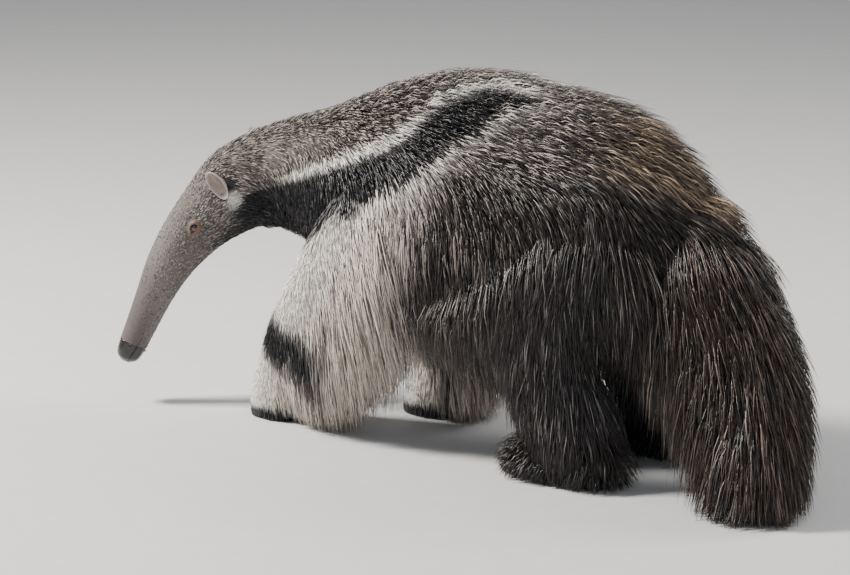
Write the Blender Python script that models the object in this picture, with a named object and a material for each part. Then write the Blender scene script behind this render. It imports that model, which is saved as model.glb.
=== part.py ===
"""A giant anteater at life size, as a still museum model: it walks with its snout lowered, the near
foreleg forward, and its long-haired tail hangs behind it down to the floor.

The animal faces -X, its left side is -Y and up is +Z, all in metres. It is laid out on its own floor
lines first, and the last step moves the whole to the middle of its bounding box, standing on z = 0.
Flesh and the inner half of the coat are one smooth core, and flat tapered locks carry the coat out to
its tips. Thin cuts part the whole into head, neck, torso, legs and lengths of the tail.
"""

import math
import random

import bmesh
import bpy
import numpy as np
from mathutils import Matrix, Vector
from mathutils.bvhtree import BVHTree

# Gap between neighbouring pieces, and how far the hanging tips and claws stay above the floor.
GAP = 0.0003
TIP_CLEARANCE = 0.003
BIG = 3.0

# The head hangs in an upright plane of its own, turned to the animal's left from the body's line.
NECK_FRONT = Vector((-0.309, 0.0, 0.0))
HEAD_TURN = math.radians(37)
HEAD_FORWARD = Vector((-math.cos(HEAD_TURN), -math.sin(HEAD_TURN), 0.0))
HEAD_LEFT = Vector((math.sin(HEAD_TURN), -math.cos(HEAD_TURN), 0.0))
UP = Vector((0.0, 0.0, 1.0))

# Head stations: distance along HEAD_FORWARD, height, half width, half depth.
HEAD = (
    (0.020, 0.424, 0.069, 0.094),
    (0.065, 0.412, 0.063, 0.085),
    (0.105, 0.394, 0.058, 0.0775),
    (0.140, 0.367, 0.053, 0.0675),
    (0.180, 0.328, 0.046, 0.0555),
    (0.215, 0.284, 0.0385, 0.0465),
    (0.242, 0.240, 0.033, 0.039),
    (0.266, 0.190, 0.028, 0.032),
    (0.288, 0.140, 0.0245, 0.0275),
    (0.304, 0.104, 0.0225, 0.0245),
    (0.313, 0.086, 0.019, 0.020),
    (0.317, 0.0775, 0.009, 0.010),
)

# Eyes, ears, nostrils and mouth, in the head's own plane; LEFT is the distance out from that plane.
EYE_S, EYE_Z, EYE_LEFT, EYE_RADIUS = 0.185, 0.329, 0.0408, 0.0078
LID_RADIUS, LID_THICKNESS, LID_LEFT = 0.0098, 0.0032, 0.0462
EAR_S, EAR_Z, EAR_LEFT = 0.142, 0.407, 0.063
EAR_HALF_HEIGHT, EAR_HALF_WIDTH, EAR_DEPTH, EAR_WALL, EAR_STALK = 0.029, 0.019, 0.013, 0.003, 0.010
# Where the ear's long axis and its opening point, and a lid's outward and lengthwise directions, each
# as shares of the head's forward, up and outward directions; then a lid's stretch along and across.
EAR_AXIS, EAR_FACING = (0.44, 0.84, 0.32), (0.58, -0.06, 0.80)
EAR_POCKET_SPREAD, EAR_POCKET_RISE = 1.03, 0.03
LID_OUT, LID_ALONG, LID_STRETCH = (0.0, 0.10, 1.0), (0.60, -0.80, 0.0), (1.12, 0.82)
NOSTRIL_S, NOSTRIL_Z, NOSTRIL_LEFT, NOSTRIL_RADIUS = 0.3055, 0.113, 0.0185, 0.0030
MOUTH_START, MOUTH_END, MOUTH_HALF_HEIGHT = (0.311, 0.080), (0.284, 0.124), 0.0010
MOUTH_INNER, MOUTH_OUTER, MOUTH_FLARE = 0.0195, 0.040, 3

# Rows of the trunk and neck with the inner half of the coat: x, y, z, half width, half depth.
TRUNK = (
    (-0.385, -0.057, 0.414, 0.064, 0.084),
    (-0.330, -0.022, 0.421, 0.072, 0.096),
    (-0.270, -0.004, 0.426, 0.084, 0.111),
    (-0.200, 0.0, 0.4225, 0.102, 0.1375),
    (-0.110, 0.0, 0.419, 0.122, 0.169),
    (0.000, 0.0, 0.421, 0.136, 0.184),
    (0.110, 0.0, 0.418, 0.142, 0.184),
    (0.220, 0.0, 0.419, 0.142, 0.172),
    (0.320, 0.0, 0.421, 0.132, 0.154),
    (0.400, 0.0, 0.4265, 0.108, 0.1265),
    (0.465, 0.0, 0.4325, 0.075, 0.090),
    (0.500, 0.0, 0.435, 0.045, 0.050),
)

# Rows of the tail, a flat blade of flesh and of the inner half of the hair that hangs from it.
TAIL = (
    (0.440, 0.000, 0.440, 0.060, 0.070),
    (0.485, -0.002, 0.408, 0.050, 0.085),
    (0.542, -0.010, 0.352, 0.045, 0.085),
    (0.614, -0.026, 0.286, 0.043, 0.080),
    (0.675, -0.052, 0.203, 0.041, 0.064),
    (0.716, -0.085, 0.120, 0.038, 0.043),
    (0.736, -0.112, 0.060, 0.030, 0.031),
    (0.741, -0.120, 0.034, 0.016, 0.018),
)

# Rows of the legs. The left foreleg reaches forward and the right one is behind it.
FORELEG_LEFT = (
    (-0.060, -0.070, 0.430, 0.050, 0.100),
    (-0.085, -0.100, 0.350, 0.062, 0.104),
    (-0.118, -0.118, 0.275, 0.064, 0.102),
    (-0.174, -0.122, 0.203, 0.060, 0.090),
    (-0.226, -0.116, 0.138, 0.052, 0.072),
    (-0.260, -0.106, 0.088, 0.045, 0.054),
    (-0.284, -0.098, 0.045, 0.044, 0.050),
    (-0.290, -0.095, 0.015, 0.042, 0.050),
    (-0.291, -0.095, -0.020, 0.038, 0.046),
)
FORELEG_RIGHT = (
    (-0.060, 0.070, 0.430, 0.050, 0.100),
    (-0.070, 0.100, 0.350, 0.062, 0.102),
    (-0.046, 0.116, 0.275, 0.064, 0.096),
    (-0.044, 0.112, 0.203, 0.058, 0.082),
    (-0.056, 0.102, 0.138, 0.050, 0.066),
    (-0.068, 0.092, 0.088, 0.044, 0.052),
    (-0.080, 0.086, 0.045, 0.043, 0.050),
    (-0.086, 0.084, 0.015, 0.042, 0.050),
    (-0.088, 0.084, -0.020, 0.038, 0.046),
)
HINDLEG_LEFT = (
    (0.370, -0.055, 0.440, 0.060, 0.115),
    (0.345, -0.090, 0.360, 0.074, 0.122),
    (0.310, -0.112, 0.280, 0.073, 0.106),
    (0.318, -0.120, 0.205, 0.062, 0.084),
    (0.348, -0.120, 0.135, 0.049, 0.062),
    (0.368, -0.118, 0.080, 0.041, 0.050),
    (0.372, -0.118, 0.040, 0.037, 0.046),
)

# A hind foot: x from the ankle, height, half width, half depth, from the heel to the toes.
HIND_FOOT = (
    (0.065, 0.040, 0.018, 0.018),
    (0.045, 0.038, 0.032, 0.036),
    (0.000, 0.036, 0.037, 0.041),
    (-0.050, 0.028, 0.038, 0.037),
    (-0.095, 0.020, 0.039, 0.028),
    (-0.125, 0.014, 0.034, 0.019),
    (-0.138, 0.010, 0.018, 0.010),
)
ANKLE_X, ANKLE_Y, RIGHT_HIND_BACK = 0.372, 0.118, 0.045

# Claws: three long ones folded back under each forefoot, five short ones on each hind foot.
FORE_CLAWS = ((0.022, 0.058, 0.0075), (0.004, 0.066, 0.0085), (-0.014, 0.048, 0.0065))
FORE_CLAW_BEHIND, FORE_CLAW_HEIGHT, FORE_CLAW_WAY = 0.020, 0.016, (1.0, 0.0, -0.10)
HIND_CLAWS = (-0.026, -0.013, 0.0, 0.013, 0.026)
HIND_CLAW_LENGTH, HIND_CLAW_RADIUS = 0.026, 0.0042
HIND_CLAW_AHEAD, HIND_CLAW_HEIGHT, HIND_CLAW_ARC, HIND_CLAW_FAN = 0.122, 0.0125, 0.25, 6
# A claw's pocket is longer than the claw by this many gaps, as its point is slim.
CLAW_TIP_GROWTH = 6

# Where thin cuts part the body: a point and the direction that looks out of the piece in front.
HEAD_CUT_S, HEAD_CUT_Z, HEAD_CUT_TILT = 0.084, 0.405, math.radians(30)
NECK_CUT_X, NECK_CUT_LEAN = -0.198, 0.25
LEG_CUT_Y, LEG_CUT_RISE, LEG_CUT_INNER = 0.030, 1.32, 0.003
FORELEG_CUT_Z, HINDLEG_CUT_Z = 0.225, 0.245
FORELEG_FRONT, FORELEG_FRONT_OUT = (-0.40, 0.0, 0.0), (-1.0, 0.0, 0.0)
FORELEG_REAR, FORELEG_REAR_OUT = (0.130, 0.0, 0.120), (1.0, 0.0, 0.60)
HINDLEG_FRONT, HINDLEG_FRONT_OUT = (0.130, 0.0, 0.120), (-1.0, 0.0, 0.42)
HINDLEG_REAR, HINDLEG_REAR_OUT = (0.47, 0.07, 0.0), (0.6, 0.8, 0.0)
TAIL_ROOT, TAIL_ROOT_LEAN = Vector((0.478, 0.0, 0.42)), -0.48
TAIL_CUT_POINT, TAIL_CUT_LEAN = Vector((0.628, 0.0, 0.28)), -0.45
NOSE_CUT_S, NOSE_CUT_Z, NOSE_CUT_OUT = 0.305, 0.102, (0.38, -0.925)

# Mesh sizes of the blended core.
RING_SIDES, RING_STEPS = 24, 4
VOXEL, BLEND_ROUNDS, CORE_SHARE = 0.009, 6, 0.042

# A lock's breadth along its length, its thickness to its breadth, how far its root is sunk, and the
# angle at which it leaves the skin before it bends over and follows the lie of the coat.
LOCK_BREADTH = (0.50, 1.0, 0.95, 0.62)
LOCK_THICKNESS, LOCK_SINK, LOCK_RISE, LOCK_HOOK = 0.24, 0.011, 0.80, 0.10
LOCK_VARIES, LIE_VARIES = 0.15, 0.16
# A lock that crosses into a neighbour or stands out too far sideways is shortened by this share until
# it is clear or too short.
LOCK_SHORTER, LOCK_SHORTEST, LOCK_CLEAR, LOCK_SLIMNESS = 0.86, 0.035, 0.0008, 0.45
COAT_HALF_WIDTH = 0.212
COAT_SEED, COAT_SHARE, SHARE_STEP = 7, 0.50, 0.01

# Rows of locks: their spacing along the body, their angles around it (from its top, or from its rear
# for a leg), and the lengths and breadths between which they go from the front of the body backwards.
MANE_SPAN, MANE_ANGLE = (-0.335, 0.490, 0.050), 0.46
MANE_LENGTH, MANE_BREADTH, MANE_LIFT = (0.060, 0.120), (0.044, 0.070), (0.14, 0.30)
FLANK_SPAN, FLANK_ANGLES = (-0.300, 0.480, 0.068), (52, 76, 100, 124, 146)
FLANK_LENGTH, FLANK_BREADTH = (0.080, 0.130), (0.058, 0.076)
FORELEG_ANGLES, FORELEG_LENGTH, FORELEG_BREADTH = (-50, 0, 50, 110), (0.065, 0.147), 0.056
HINDLEG_ANGLES, HINDLEG_LENGTH, HINDLEG_BREADTH = (-15, 45, 100, 160), (0.065, 0.110), 0.062
TAIL_ANGLES, TAIL_LENGTH, TAIL_BREADTH = (0, 72, 144, 216, 288), (0.135, 0.180), 0.062
# How far a leg's locks lean back and out as they hang, and how they lift off and droop.
FORELEG_LEAN, FORELEG_LIFT, FORELEG_DROOP = (0.22, 0.05), (0.06, 0.20), 0.30
HINDLEG_LEAN, HINDLEG_LIFT, HINDLEG_DROOP = (0.12, 0.0), 0.04, 0.35
TAIL_LIFT, TAIL_DROOP = (0.36, 0.10), 0.12


def clear_scene():
    for obj in list(bpy.data.objects):
        bpy.data.objects.remove(obj)


def object_of(name, bm):
    """A new object in the scene that takes the geometry of bm, with its normals facing out."""
    bmesh.ops.recalc_face_normals(bm, faces=bm.faces)
    mesh = bpy.data.meshes.new(name)
    bm.to_mesh(mesh)
    bm.free()
    obj = bpy.data.objects.new(name, mesh)
    bpy.context.scene.collection.objects.link(obj)
    return obj


def copy_of(obj, name):
    made = bpy.data.objects.new(name, obj.data.copy())
    bpy.context.scene.collection.objects.link(made)
    return made


def smooth_rows(rows, steps):
    """Catmull-Rom rows between the given ones, every number of a row alike."""
    p = np.array(rows, float)
    ends = np.vstack([2 * p[0] - p[1], p, 2 * p[-1] - p[-2]])
    out = []
    for i in range(len(p) - 1):
        a, b, c, d = ends[i : i + 4]
        for t in np.arange(steps) / steps:
            linear = (c - a) * t
            square = (2 * a - 5 * b + 4 * c - d) * t * t
            cube = (3 * b - a - 3 * c + d) * t**3
            out.append(0.5 * (2 * b + linear + square + cube))
    out.append(p[-1])
    return np.array(out)


def bridge(bm, rings):
    """Faces between closed rings of equal count, with a face over each end ring."""
    count = len(rings[0])
    for low, high in zip(rings, rings[1:]):
        for k in range(count):
            bm.faces.new((low[k], low[(k + 1) % count], high[(k + 1) % count], high[k]))
    bm.faces.new(rings[0][::-1])
    bm.faces.new(rings[-1])


def loft(name, stations, side, sides=RING_SIDES, steps=RING_STEPS):
    """A closed tube through rows of (x, y, z, half width, half depth). Half widths lie along side."""
    rows = smooth_rows(stations, steps)
    bm = bmesh.new()
    rings = []
    for i, row in enumerate(rows):
        ahead = Vector(rows[min(i + 1, len(rows) - 1)][:3])
        behind = Vector(rows[max(i - 1, 0)][:3])
        along = (ahead - behind).normalized()
        across = (Vector(side) - along * along.dot(side)).normalized()
        above = along.cross(across)
        ring = []
        for k in range(sides):
            turn = 2 * math.pi * k / sides
            at = Vector(row[:3]) + across * (math.cos(turn) * row[3]) + above * (math.sin(turn) * row[4])
            ring.append(bm.verts.new(at))
        rings.append(ring)
    bridge(bm, rings)
    return object_of(name, bm)


def head_point(s, z, left=0.0):
    """A point given by its place in the head's own upright plane and how far it is to the left."""
    return NECK_FRONT + HEAD_FORWARD * s + HEAD_LEFT * left + UP * z


def head_way(shares, left):
    """A direction from its shares of the head's forward, up and outward directions on one side."""
    forward, up, out = shares
    return (HEAD_FORWARD * forward + UP * up + HEAD_LEFT * (out * left)).normalized()


def head_rows():
    return [(*head_point(s, z), half_width, half_depth) for s, z, half_width, half_depth in HEAD]


def hind_leg_rows(side_sign, back):
    """Rows of a hind leg on the side of side_sign; its foot stands further back than the left one."""
    last = len(HINDLEG_LEFT) - 1
    return [(x + back * i / last, -side_sign * y, z, a, b) for i, (x, y, z, a, b) in enumerate(HINDLEG_LEFT)]


def hind_foot_rows(side_sign, back):
    return [(ANKLE_X + back + x, side_sign * ANKLE_Y, z, a, b) for x, z, a, b in HIND_FOOT]


def apply_modifiers(obj):
    graph = bpy.context.evaluated_depsgraph_get()
    graph.update()
    made = bpy.data.meshes.new_from_object(obj.evaluated_get(graph), depsgraph=graph)
    obj.modifiers.clear()
    obj.data = made
    return obj


def boolean(obj, operation, others, solver="MANIFOLD"):
    """obj with a Boolean by all of others applied to it; the others are removed."""
    if not others:
        return obj
    group = bpy.data.collections.new("operands")
    bpy.context.scene.collection.children.link(group)
    for other in others:
        bpy.context.scene.collection.objects.unlink(other)
        group.objects.link(other)
    cut = obj.modifiers.new(operation, "BOOLEAN")
    cut.operation = operation
    cut.operand_type = "COLLECTION"
    cut.collection = group
    cut.solver = solver
    apply_modifiers(obj)
    for other in others:
        bpy.data.objects.remove(other)
    bpy.data.collections.remove(group)
    return obj


def is_closed(mesh):
    bm = bmesh.new()
    bm.from_mesh(mesh)
    closed = all(len(edge.link_faces) == 2 for edge in bm.edges)
    bm.free()
    return closed


def thinned(obj, share):
    """obj with a share of its triangles, or a little more where that would leave it open."""
    whole = obj.data
    while share < 1.0:
        obj.data = whole.copy()
        obj.modifiers.new("triangles", "TRIANGULATE")
        obj.modifiers.new("thin", "DECIMATE").ratio = share
        apply_modifiers(obj)
        if is_closed(obj.data):
            return obj
        share += SHARE_STEP
    obj.data = whole
    return obj


def keep_largest(obj):
    """Only the closed surface of the most volume stays, so that the node is one body."""
    bm = bmesh.new()
    bm.from_mesh(obj.data)
    bmesh.ops.triangulate(bm, faces=bm.faces)
    left, groups = set(bm.faces), []
    while left:
        found, front = set(), [next(iter(left))]
        left.discard(front[0])
        while front:
            face = front.pop()
            found.add(face)
            for edge in face.edges:
                for near in edge.link_faces:
                    if near in left:
                        left.discard(near)
                        front.append(near)
        volume = sum(f.verts[0].co.dot(f.verts[1].co.cross(f.verts[2].co)) for f in found) / 6
        groups.append((volume, found))
    best = max(groups, key=lambda group: group[0])[1]
    bmesh.ops.delete(bm, geom=[f for f in bm.faces if f not in best], context="FACES")
    bm.to_mesh(obj.data)
    bm.free()
    return obj


def block(name, planes, grow=0.0):
    """A closed convex block: a big cube cut by planes, each a point and a normal that looks out."""
    bm = bmesh.new()
    bmesh.ops.create_cube(bm, size=BIG)
    for point, normal in planes:
        out = Vector(normal).normalized()
        geom = bm.verts[:] + bm.edges[:] + bm.faces[:]
        at = Vector(point) + out * grow
        cut = bmesh.ops.bisect_plane(bm, geom=geom, plane_co=at, plane_no=out, clear_outer=True)
        edges = [e for e in cut["geom_cut"] if isinstance(e, bmesh.types.BMEdge)]
        bmesh.ops.edgeloop_fill(bm, edges=edges)
    return object_of(name, bm)


# The cuts, as planes that bound each part of the body. Every plane looks out of its part.
HEAD_AHEAD = HEAD_FORWARD * math.cos(HEAD_CUT_TILT) - UP * math.sin(HEAD_CUT_TILT)
HEAD_PLANES = ((head_point(HEAD_CUT_S, HEAD_CUT_Z), -HEAD_AHEAD),)
NECK_BACK = Vector((1.0, 0.0, NECK_CUT_LEAN))
NECK_PLANES = (
    (head_point(HEAD_CUT_S, HEAD_CUT_Z), HEAD_AHEAD),
    (Vector((NECK_CUT_X, 0.0, 0.42)), NECK_BACK),
)
TAIL_OUT = Vector((1.0, 0.0, TAIL_ROOT_LEAN))
TORSO_PLANES = (
    (Vector((NECK_CUT_X, 0.0, 0.42)), -NECK_BACK),
    (TAIL_ROOT, TAIL_OUT),
)
TAIL_CUT = Vector((1.0, 0.0, TAIL_CUT_LEAN))


def leg_planes(side_sign, cut_z, front, front_out, rear, rear_out):
    """The bounds of a leg on one side: the slanting cut at its top, the middle of the body, its ends."""
    slant = Vector((0.0, -side_sign * LEG_CUT_RISE, 1.0))
    return (
        (Vector((0.0, side_sign * LEG_CUT_Y, cut_z)), slant),
        (Vector((0.0, side_sign * LEG_CUT_INNER, 0.0)), Vector((0.0, -side_sign, 0.0))),
        (Vector(front), Vector(front_out)),
        (Vector(rear), Vector(rear_out)),
    )


def foreleg_planes(side_sign):
    ends = (FORELEG_FRONT, FORELEG_FRONT_OUT, FORELEG_REAR, FORELEG_REAR_OUT)
    return leg_planes(side_sign, FORELEG_CUT_Z, *ends)


def hindleg_planes(side_sign, back):
    x, y, z = HINDLEG_REAR
    out_x, out_y, out_z = HINDLEG_REAR_OUT
    rear, rear_out = (x + back / 2, side_sign * y, z), (out_x, -side_sign * out_y, out_z)
    return leg_planes(side_sign, HINDLEG_CUT_Z, HINDLEG_FRONT, HINDLEG_FRONT_OUT, rear, rear_out)


LEG_PARTS = {
    "foreleg_left": foreleg_planes(-1),
    "foreleg_right": foreleg_planes(1),
    "hindleg_left": hindleg_planes(-1, 0.0),
    "hindleg_right": hindleg_planes(1, RIGHT_HIND_BACK),
}
TRUNK_PARTS = {
    "head": HEAD_PLANES,
    "neck": NECK_PLANES,
    "torso": TORSO_PLANES,
    "tail_base": ((TAIL_ROOT, -TAIL_OUT), (TAIL_CUT_POINT, TAIL_CUT)),
    "tail_end": ((TAIL_CUT_POINT, -TAIL_CUT),),
}


def inside(point, planes, margin=0.0):
    return all((point - Vector(p)).dot(Vector(n).normalized()) < -margin for p, n in planes)


def part_of(point):
    """The name of the part of the body whose bounds hold a point; legs are cut out of the trunk."""
    for name, planes in list(LEG_PARTS.items()) + list(TRUNK_PARTS.items()):
        if inside(point, planes):
            return name
    return "torso"


def belongs(point, name, margin):
    """Whether a point is within a part and clear of its neighbours by a margin."""
    if point.z < TIP_CLEARANCE:
        return False
    if name in LEG_PARTS:
        return inside(point, LEG_PARTS[name], margin)
    if any(inside(point, planes, -margin) for planes in LEG_PARTS.values()):
        return False
    return inside(point, TRUNK_PARTS[name], margin)


def core_of_body():
    """Neck, trunk, tail and legs blended into one smooth closed surface."""
    pieces = [
        loft("trunk", TRUNK, (0, 1, 0)),
        loft("tail", TAIL, (0, 1, 0)),
        loft("head_root", head_rows()[:4], HEAD_LEFT),
        loft("foreleg_l", FORELEG_LEFT, (0, 1, 0)),
        loft("foreleg_r", FORELEG_RIGHT, (0, 1, 0)),
    ]
    for side_sign, back in ((-1, 0.0), (1, RIGHT_HIND_BACK)):
        pieces.append(loft("hindleg", hind_leg_rows(side_sign, back), (0, 1, 0)))
        pieces.append(loft("hindfoot", hind_foot_rows(side_sign, back), (0, 1, 0)))
    return blend("core", pieces, VOXEL, BLEND_ROUNDS, CORE_SHARE)


def blend(name, pieces, voxel, rounds, share):
    """One smooth closed surface over overlapping pieces, with a share of its faces kept."""
    bm = bmesh.new()
    for piece in pieces:
        bm.from_mesh(piece.data)
        bpy.data.objects.remove(piece)
    body = object_of(name, bm)
    remesh = body.modifiers.new("blend", "REMESH")
    remesh.mode = "VOXEL"
    remesh.voxel_size = voxel
    smooth = body.modifiers.new("smooth", "SMOOTH")
    smooth.factor = 0.5
    smooth.iterations = rounds
    thin = body.modifiers.new("thin", "DECIMATE")
    thin.ratio = share
    return apply_modifiers(body)


class Coat:
    """Collects the locks of the coat on the surface of a core."""

    def __init__(self, core, seed):
        bm = bmesh.new()
        bm.from_mesh(core.data)
        self.tree = BVHTree.FromBMesh(bm)
        bm.free()
        self.draw = random.Random(seed)
        self.locks = []

    def root(self, start, direction):
        """Where a line from start first meets the core, with the surface's direction there."""
        return self.tree.ray_cast(Vector(start), Vector(direction).normalized(), BIG)[:2]

    def lock(self, point, normal, lie, length, breadth, lift, droop):
        """A flat tapered lock that leaves its root along its lie, raised by lift, and bends down."""
        name = part_of(point)
        if name == "head":
            return
        vary = self.draw.uniform
        length *= 1.0 + vary(-LOCK_VARIES, LOCK_VARIES)
        breadth *= 1.0 + vary(-LOCK_VARIES, LOCK_VARIES)
        lie = Vector(lie) + Vector([vary(-LIE_VARIES, LIE_VARIES) for _ in range(3)])
        lie = (lie - normal * lie.dot(normal)).normalized()
        half = lie.cross(normal).normalized() * (breadth / 2)
        while length > LOCK_SHORTEST:
            path = self.path(point, normal, lie, length, lift, droop)
            samples = path[2:] + [at + half * side for at in path[2:-1] for side in (-1, 1)]
            if all(belongs(at, name, LOCK_CLEAR) and abs(at.y) < COAT_HALF_WIDTH for at in samples):
                self.add(path, normal, lie, min(breadth, length * LOCK_SLIMNESS))
                return
            length *= LOCK_SHORTER

    def path(self, point, normal, lie, length, lift, droop):
        """The middle line of a lock, from its sunk root to its tip."""
        at = point - normal * LOCK_SINK
        path = [at.copy()]
        last = len(LOCK_BREADTH) - 1
        rise = LOCK_SINK / math.sin(LOCK_RISE) + LOCK_HOOK * length
        for i in range(last + 1):
            raised = LOCK_RISE if i == 0 else lift * (1.3 - 0.45 * i)
            going = lie * math.cos(raised) + normal * math.sin(raised) - UP * (droop * i / last)
            at = at + going.normalized() * (rise if i == 0 else length / last)
            path.append(at.copy())
        return path

    def add(self, path, normal, lie, breadth):
        across = lie.cross(normal).normalized()
        bm = bmesh.new()
        rings = []
        for i, share in enumerate(LOCK_BREADTH):
            along = (path[i + 1] - path[max(i - 1, 0)]).normalized()
            out = across.cross(along).normalized()
            half = across * (breadth * share / 2)
            ridge = out * (breadth * share * LOCK_THICKNESS / 2)
            corners = (path[i] - half - ridge, path[i] + half - ridge, path[i] + ridge)
            rings.append([bm.verts.new(c) for c in corners])
        tip = bm.verts.new(path[-1])
        for low, high in zip(rings, rings[1:]):
            for k in range(3):
                bm.faces.new((low[k], low[(k + 1) % 3], high[(k + 1) % 3], high[k]))
        for k in range(3):
            bm.faces.new((rings[-1][k], rings[-1][(k + 1) % 3], tip))
        bm.faces.new(rings[0][::-1])
        bmesh.ops.triangulate(bm, faces=bm.faces)
        self.locks.append(object_of("lock", bm))


def middle_at(rows, x):
    """The middle (y, z) of a loft at a given x, read between its stations."""
    fine = smooth_rows(rows, 8)
    return [float(np.interp(x, fine[:, 0], fine[:, k])) for k in (1, 2)]


def between(ends, share):
    """The value at a share of the way between two ends, held at the ends."""
    share = min(max(share, 0.0), 1.0)
    return ends[0] + (ends[1] - ends[0]) * share


def grow_mane(coat):
    """Locks of the back, from the nape to the rump, raised and swept backwards."""
    step = MANE_SPAN[2]
    for x in np.arange(*MANE_SPAN):
        y, z = middle_at(TRUNK, x)
        share = (x - MANE_SPAN[0]) / 0.30
        lie = (1.0, 0.0, -0.10 - 0.35 * max(x - 0.2, 0.0))
        length, breadth = between(MANE_LENGTH, share), between(MANE_BREADTH, share)
        for place in (-1, 0, 1):
            turn = place * MANE_ANGLE + coat.draw.uniform(-0.05, 0.05)
            out = Vector((0.0, math.sin(turn), math.cos(turn)))
            start = Vector((x + (step * 0.56 if place else 0.0), y, z)) + out
            lift = between(MANE_LIFT, share) - 0.06 * abs(place)
            coat.lock(*coat.root(start, -out), lie, length, breadth, lift, 0.10)


def grow_flanks(coat):
    """Locks of the sides, lying back at the shoulder and hanging from the ribs and the belly."""
    step = FLANK_SPAN[2]
    for side in (-1, 1):
        for x in np.arange(*FLANK_SPAN):
            y, z = middle_at(TRUNK, x)
            share = (x - FLANK_SPAN[0]) / 0.34
            for row, degrees in enumerate(FLANK_ANGLES):
                turn = math.radians(degrees)
                out = Vector((0.0, side * math.sin(turn), math.cos(turn)))
                start = Vector((x + (step / 2 if row % 2 else 0.0), y, z)) + out
                lie = (0.80 - 0.12 * row, side * 0.05, -0.30 - 0.20 * row)
                length, breadth = between(FLANK_LENGTH, share) + 0.006 * row, between(FLANK_BREADTH, share)
                coat.lock(*coat.root(start, -out), lie, length, breadth, 0.10, 0.06)


def grow_legs(coat):
    """Locks of the legs, short in front, with long fringes behind the forearm and on the thigh."""
    for side, rows in ((-1, FORELEG_LEFT), (1, FORELEG_RIGHT)):
        for step, (x, y, z) in enumerate(smooth_rows(rows[1:6], 2)[:-1, :3]):
            high = between((0.25, 1.0), (z - 0.07) / 0.12)
            for degrees in FORELEG_ANGLES:
                turn = math.radians(degrees + (26 if step % 2 else 0))
                out = Vector((math.cos(turn), side * math.sin(turn), 0.0))
                rear = max(math.cos(turn), 0.0)
                lie = (FORELEG_LEAN[0], side * FORELEG_LEAN[1], -1.0)
                root = coat.root(Vector((x, y, z)) + out * 0.3, -out)
                length = between(FORELEG_LENGTH, high * rear)
                lift = between(FORELEG_LIFT, rear)
                coat.lock(*root, lie, length, FORELEG_BREADTH, lift, FORELEG_DROOP)
    for side, back in ((-1, 0.0), (1, RIGHT_HIND_BACK)):
        rows = smooth_rows(hind_leg_rows(side, back)[1:6], 2)
        for step, (x, y, z) in enumerate(rows[:-1, :3]):
            length = between(HINDLEG_LENGTH, (z - 0.07) / 0.20)
            for degrees in HINDLEG_ANGLES:
                turn = math.radians(degrees + (28 if step % 2 else 0))
                out = Vector((math.cos(turn), side * math.sin(turn), 0.0))
                root = coat.root(Vector((x, y, z)) + out * 0.3, -out)
                lie = (HINDLEG_LEAN[0], side * HINDLEG_LEAN[1], -1.0)
                coat.lock(*root, lie, length, HINDLEG_BREADTH, HINDLEG_LIFT, HINDLEG_DROOP)


def grow_tail(coat):
    """Long locks that sweep off the tail and hang down to the floor as a curtain."""
    middles = smooth_rows(TAIL[:-1], 2)[:, :3]
    for step, middle in enumerate(middles):
        ahead = middles[min(step + 1, len(middles) - 1)] - middles[max(step - 1, 0)]
        along = Vector(ahead).normalized()
        above = Vector((-along.z, 0.0, along.x)).normalized()
        for degrees in TAIL_ANGLES:
            turn = math.radians(degrees + (36 if step % 2 else 0))
            out = (above * math.cos(turn) + Vector((0.0, 1.0, 0.0)) * math.sin(turn)).normalized()
            point, normal = coat.root(Vector(middle) + out * 0.4, -out)
            under = max(-math.cos(turn), 0.0)
            lie = along * (0.9 - 0.8 * under) + UP * (-0.35 - 0.65 * under) + Vector((0.15, 0.0, 0.0))
            length = min(between(TAIL_LENGTH, under), max(point.z * 0.95, 0.05))
            coat.lock(point, normal, lie, length, TAIL_BREADTH, between(TAIL_LIFT, under), TAIL_DROOP)


def bowl(name, side, spread, front_rise, wall):
    """The cup of an ear on one side of the head, with its rim spread and its front face raised."""
    left = -side
    up_axis = head_way(EAR_AXIS, left)
    facing = head_way(EAR_FACING, left)
    facing = (facing - up_axis * facing.dot(up_axis)).normalized()
    broad = up_axis.cross(facing)
    middle = head_point(EAR_S, EAR_Z, left * EAR_LEFT)
    bm = bmesh.new()
    radii, sides = (0.40, 0.75, 0.94, 1.0), 14
    faces_of_bowl = []
    for is_back in (False, True):
        rings = []
        for radius in radii:
            ring = []
            for k in range(sides):
                turn = 2 * math.pi * k / sides
                tall = EAR_HALF_HEIGHT * (1.0 + 0.10 * math.sin(turn))
                across = broad * (math.cos(turn) * EAR_HALF_WIDTH * radius * spread)
                upward = up_axis * (math.sin(turn) * tall * radius * spread)
                hollow = EAR_DEPTH * (1 - radius**2)
                depth = hollow + wall if is_back else (-front_rise if front_rise else hollow)
                root = HEAD_LEFT * left * (EAR_STALK * (1 - radius**2) if is_back else 0.0)
                ring.append(bm.verts.new(middle + across + upward - facing * depth - root))
            rings.append(ring)
        faces_of_bowl.append(rings)
    front, back = faces_of_bowl
    for rings in (front, back):
        for low, high in zip(rings, rings[1:]):
            for k in range(sides):
                bm.faces.new((low[k], low[(k + 1) % sides], high[(k + 1) % sides], high[k]))
        bm.faces.new(rings[0])
    for k in range(sides):
        bm.faces.new((front[-1][k], front[-1][(k + 1) % sides], back[-1][(k + 1) % sides], back[-1][k]))
    return object_of(name, bm)


def ear(side):
    return bowl("ear_left" if side < 0 else "ear_right", side, 1.0, 0.0, EAR_WALL)


def ear_pocket(side):
    """What an ear takes out of the head: its bowl with a small gap, and the hollow in front of it."""
    return bowl("ear_pocket", side, EAR_POCKET_SPREAD, EAR_POCKET_RISE, EAR_WALL + 2 * GAP)


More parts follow.
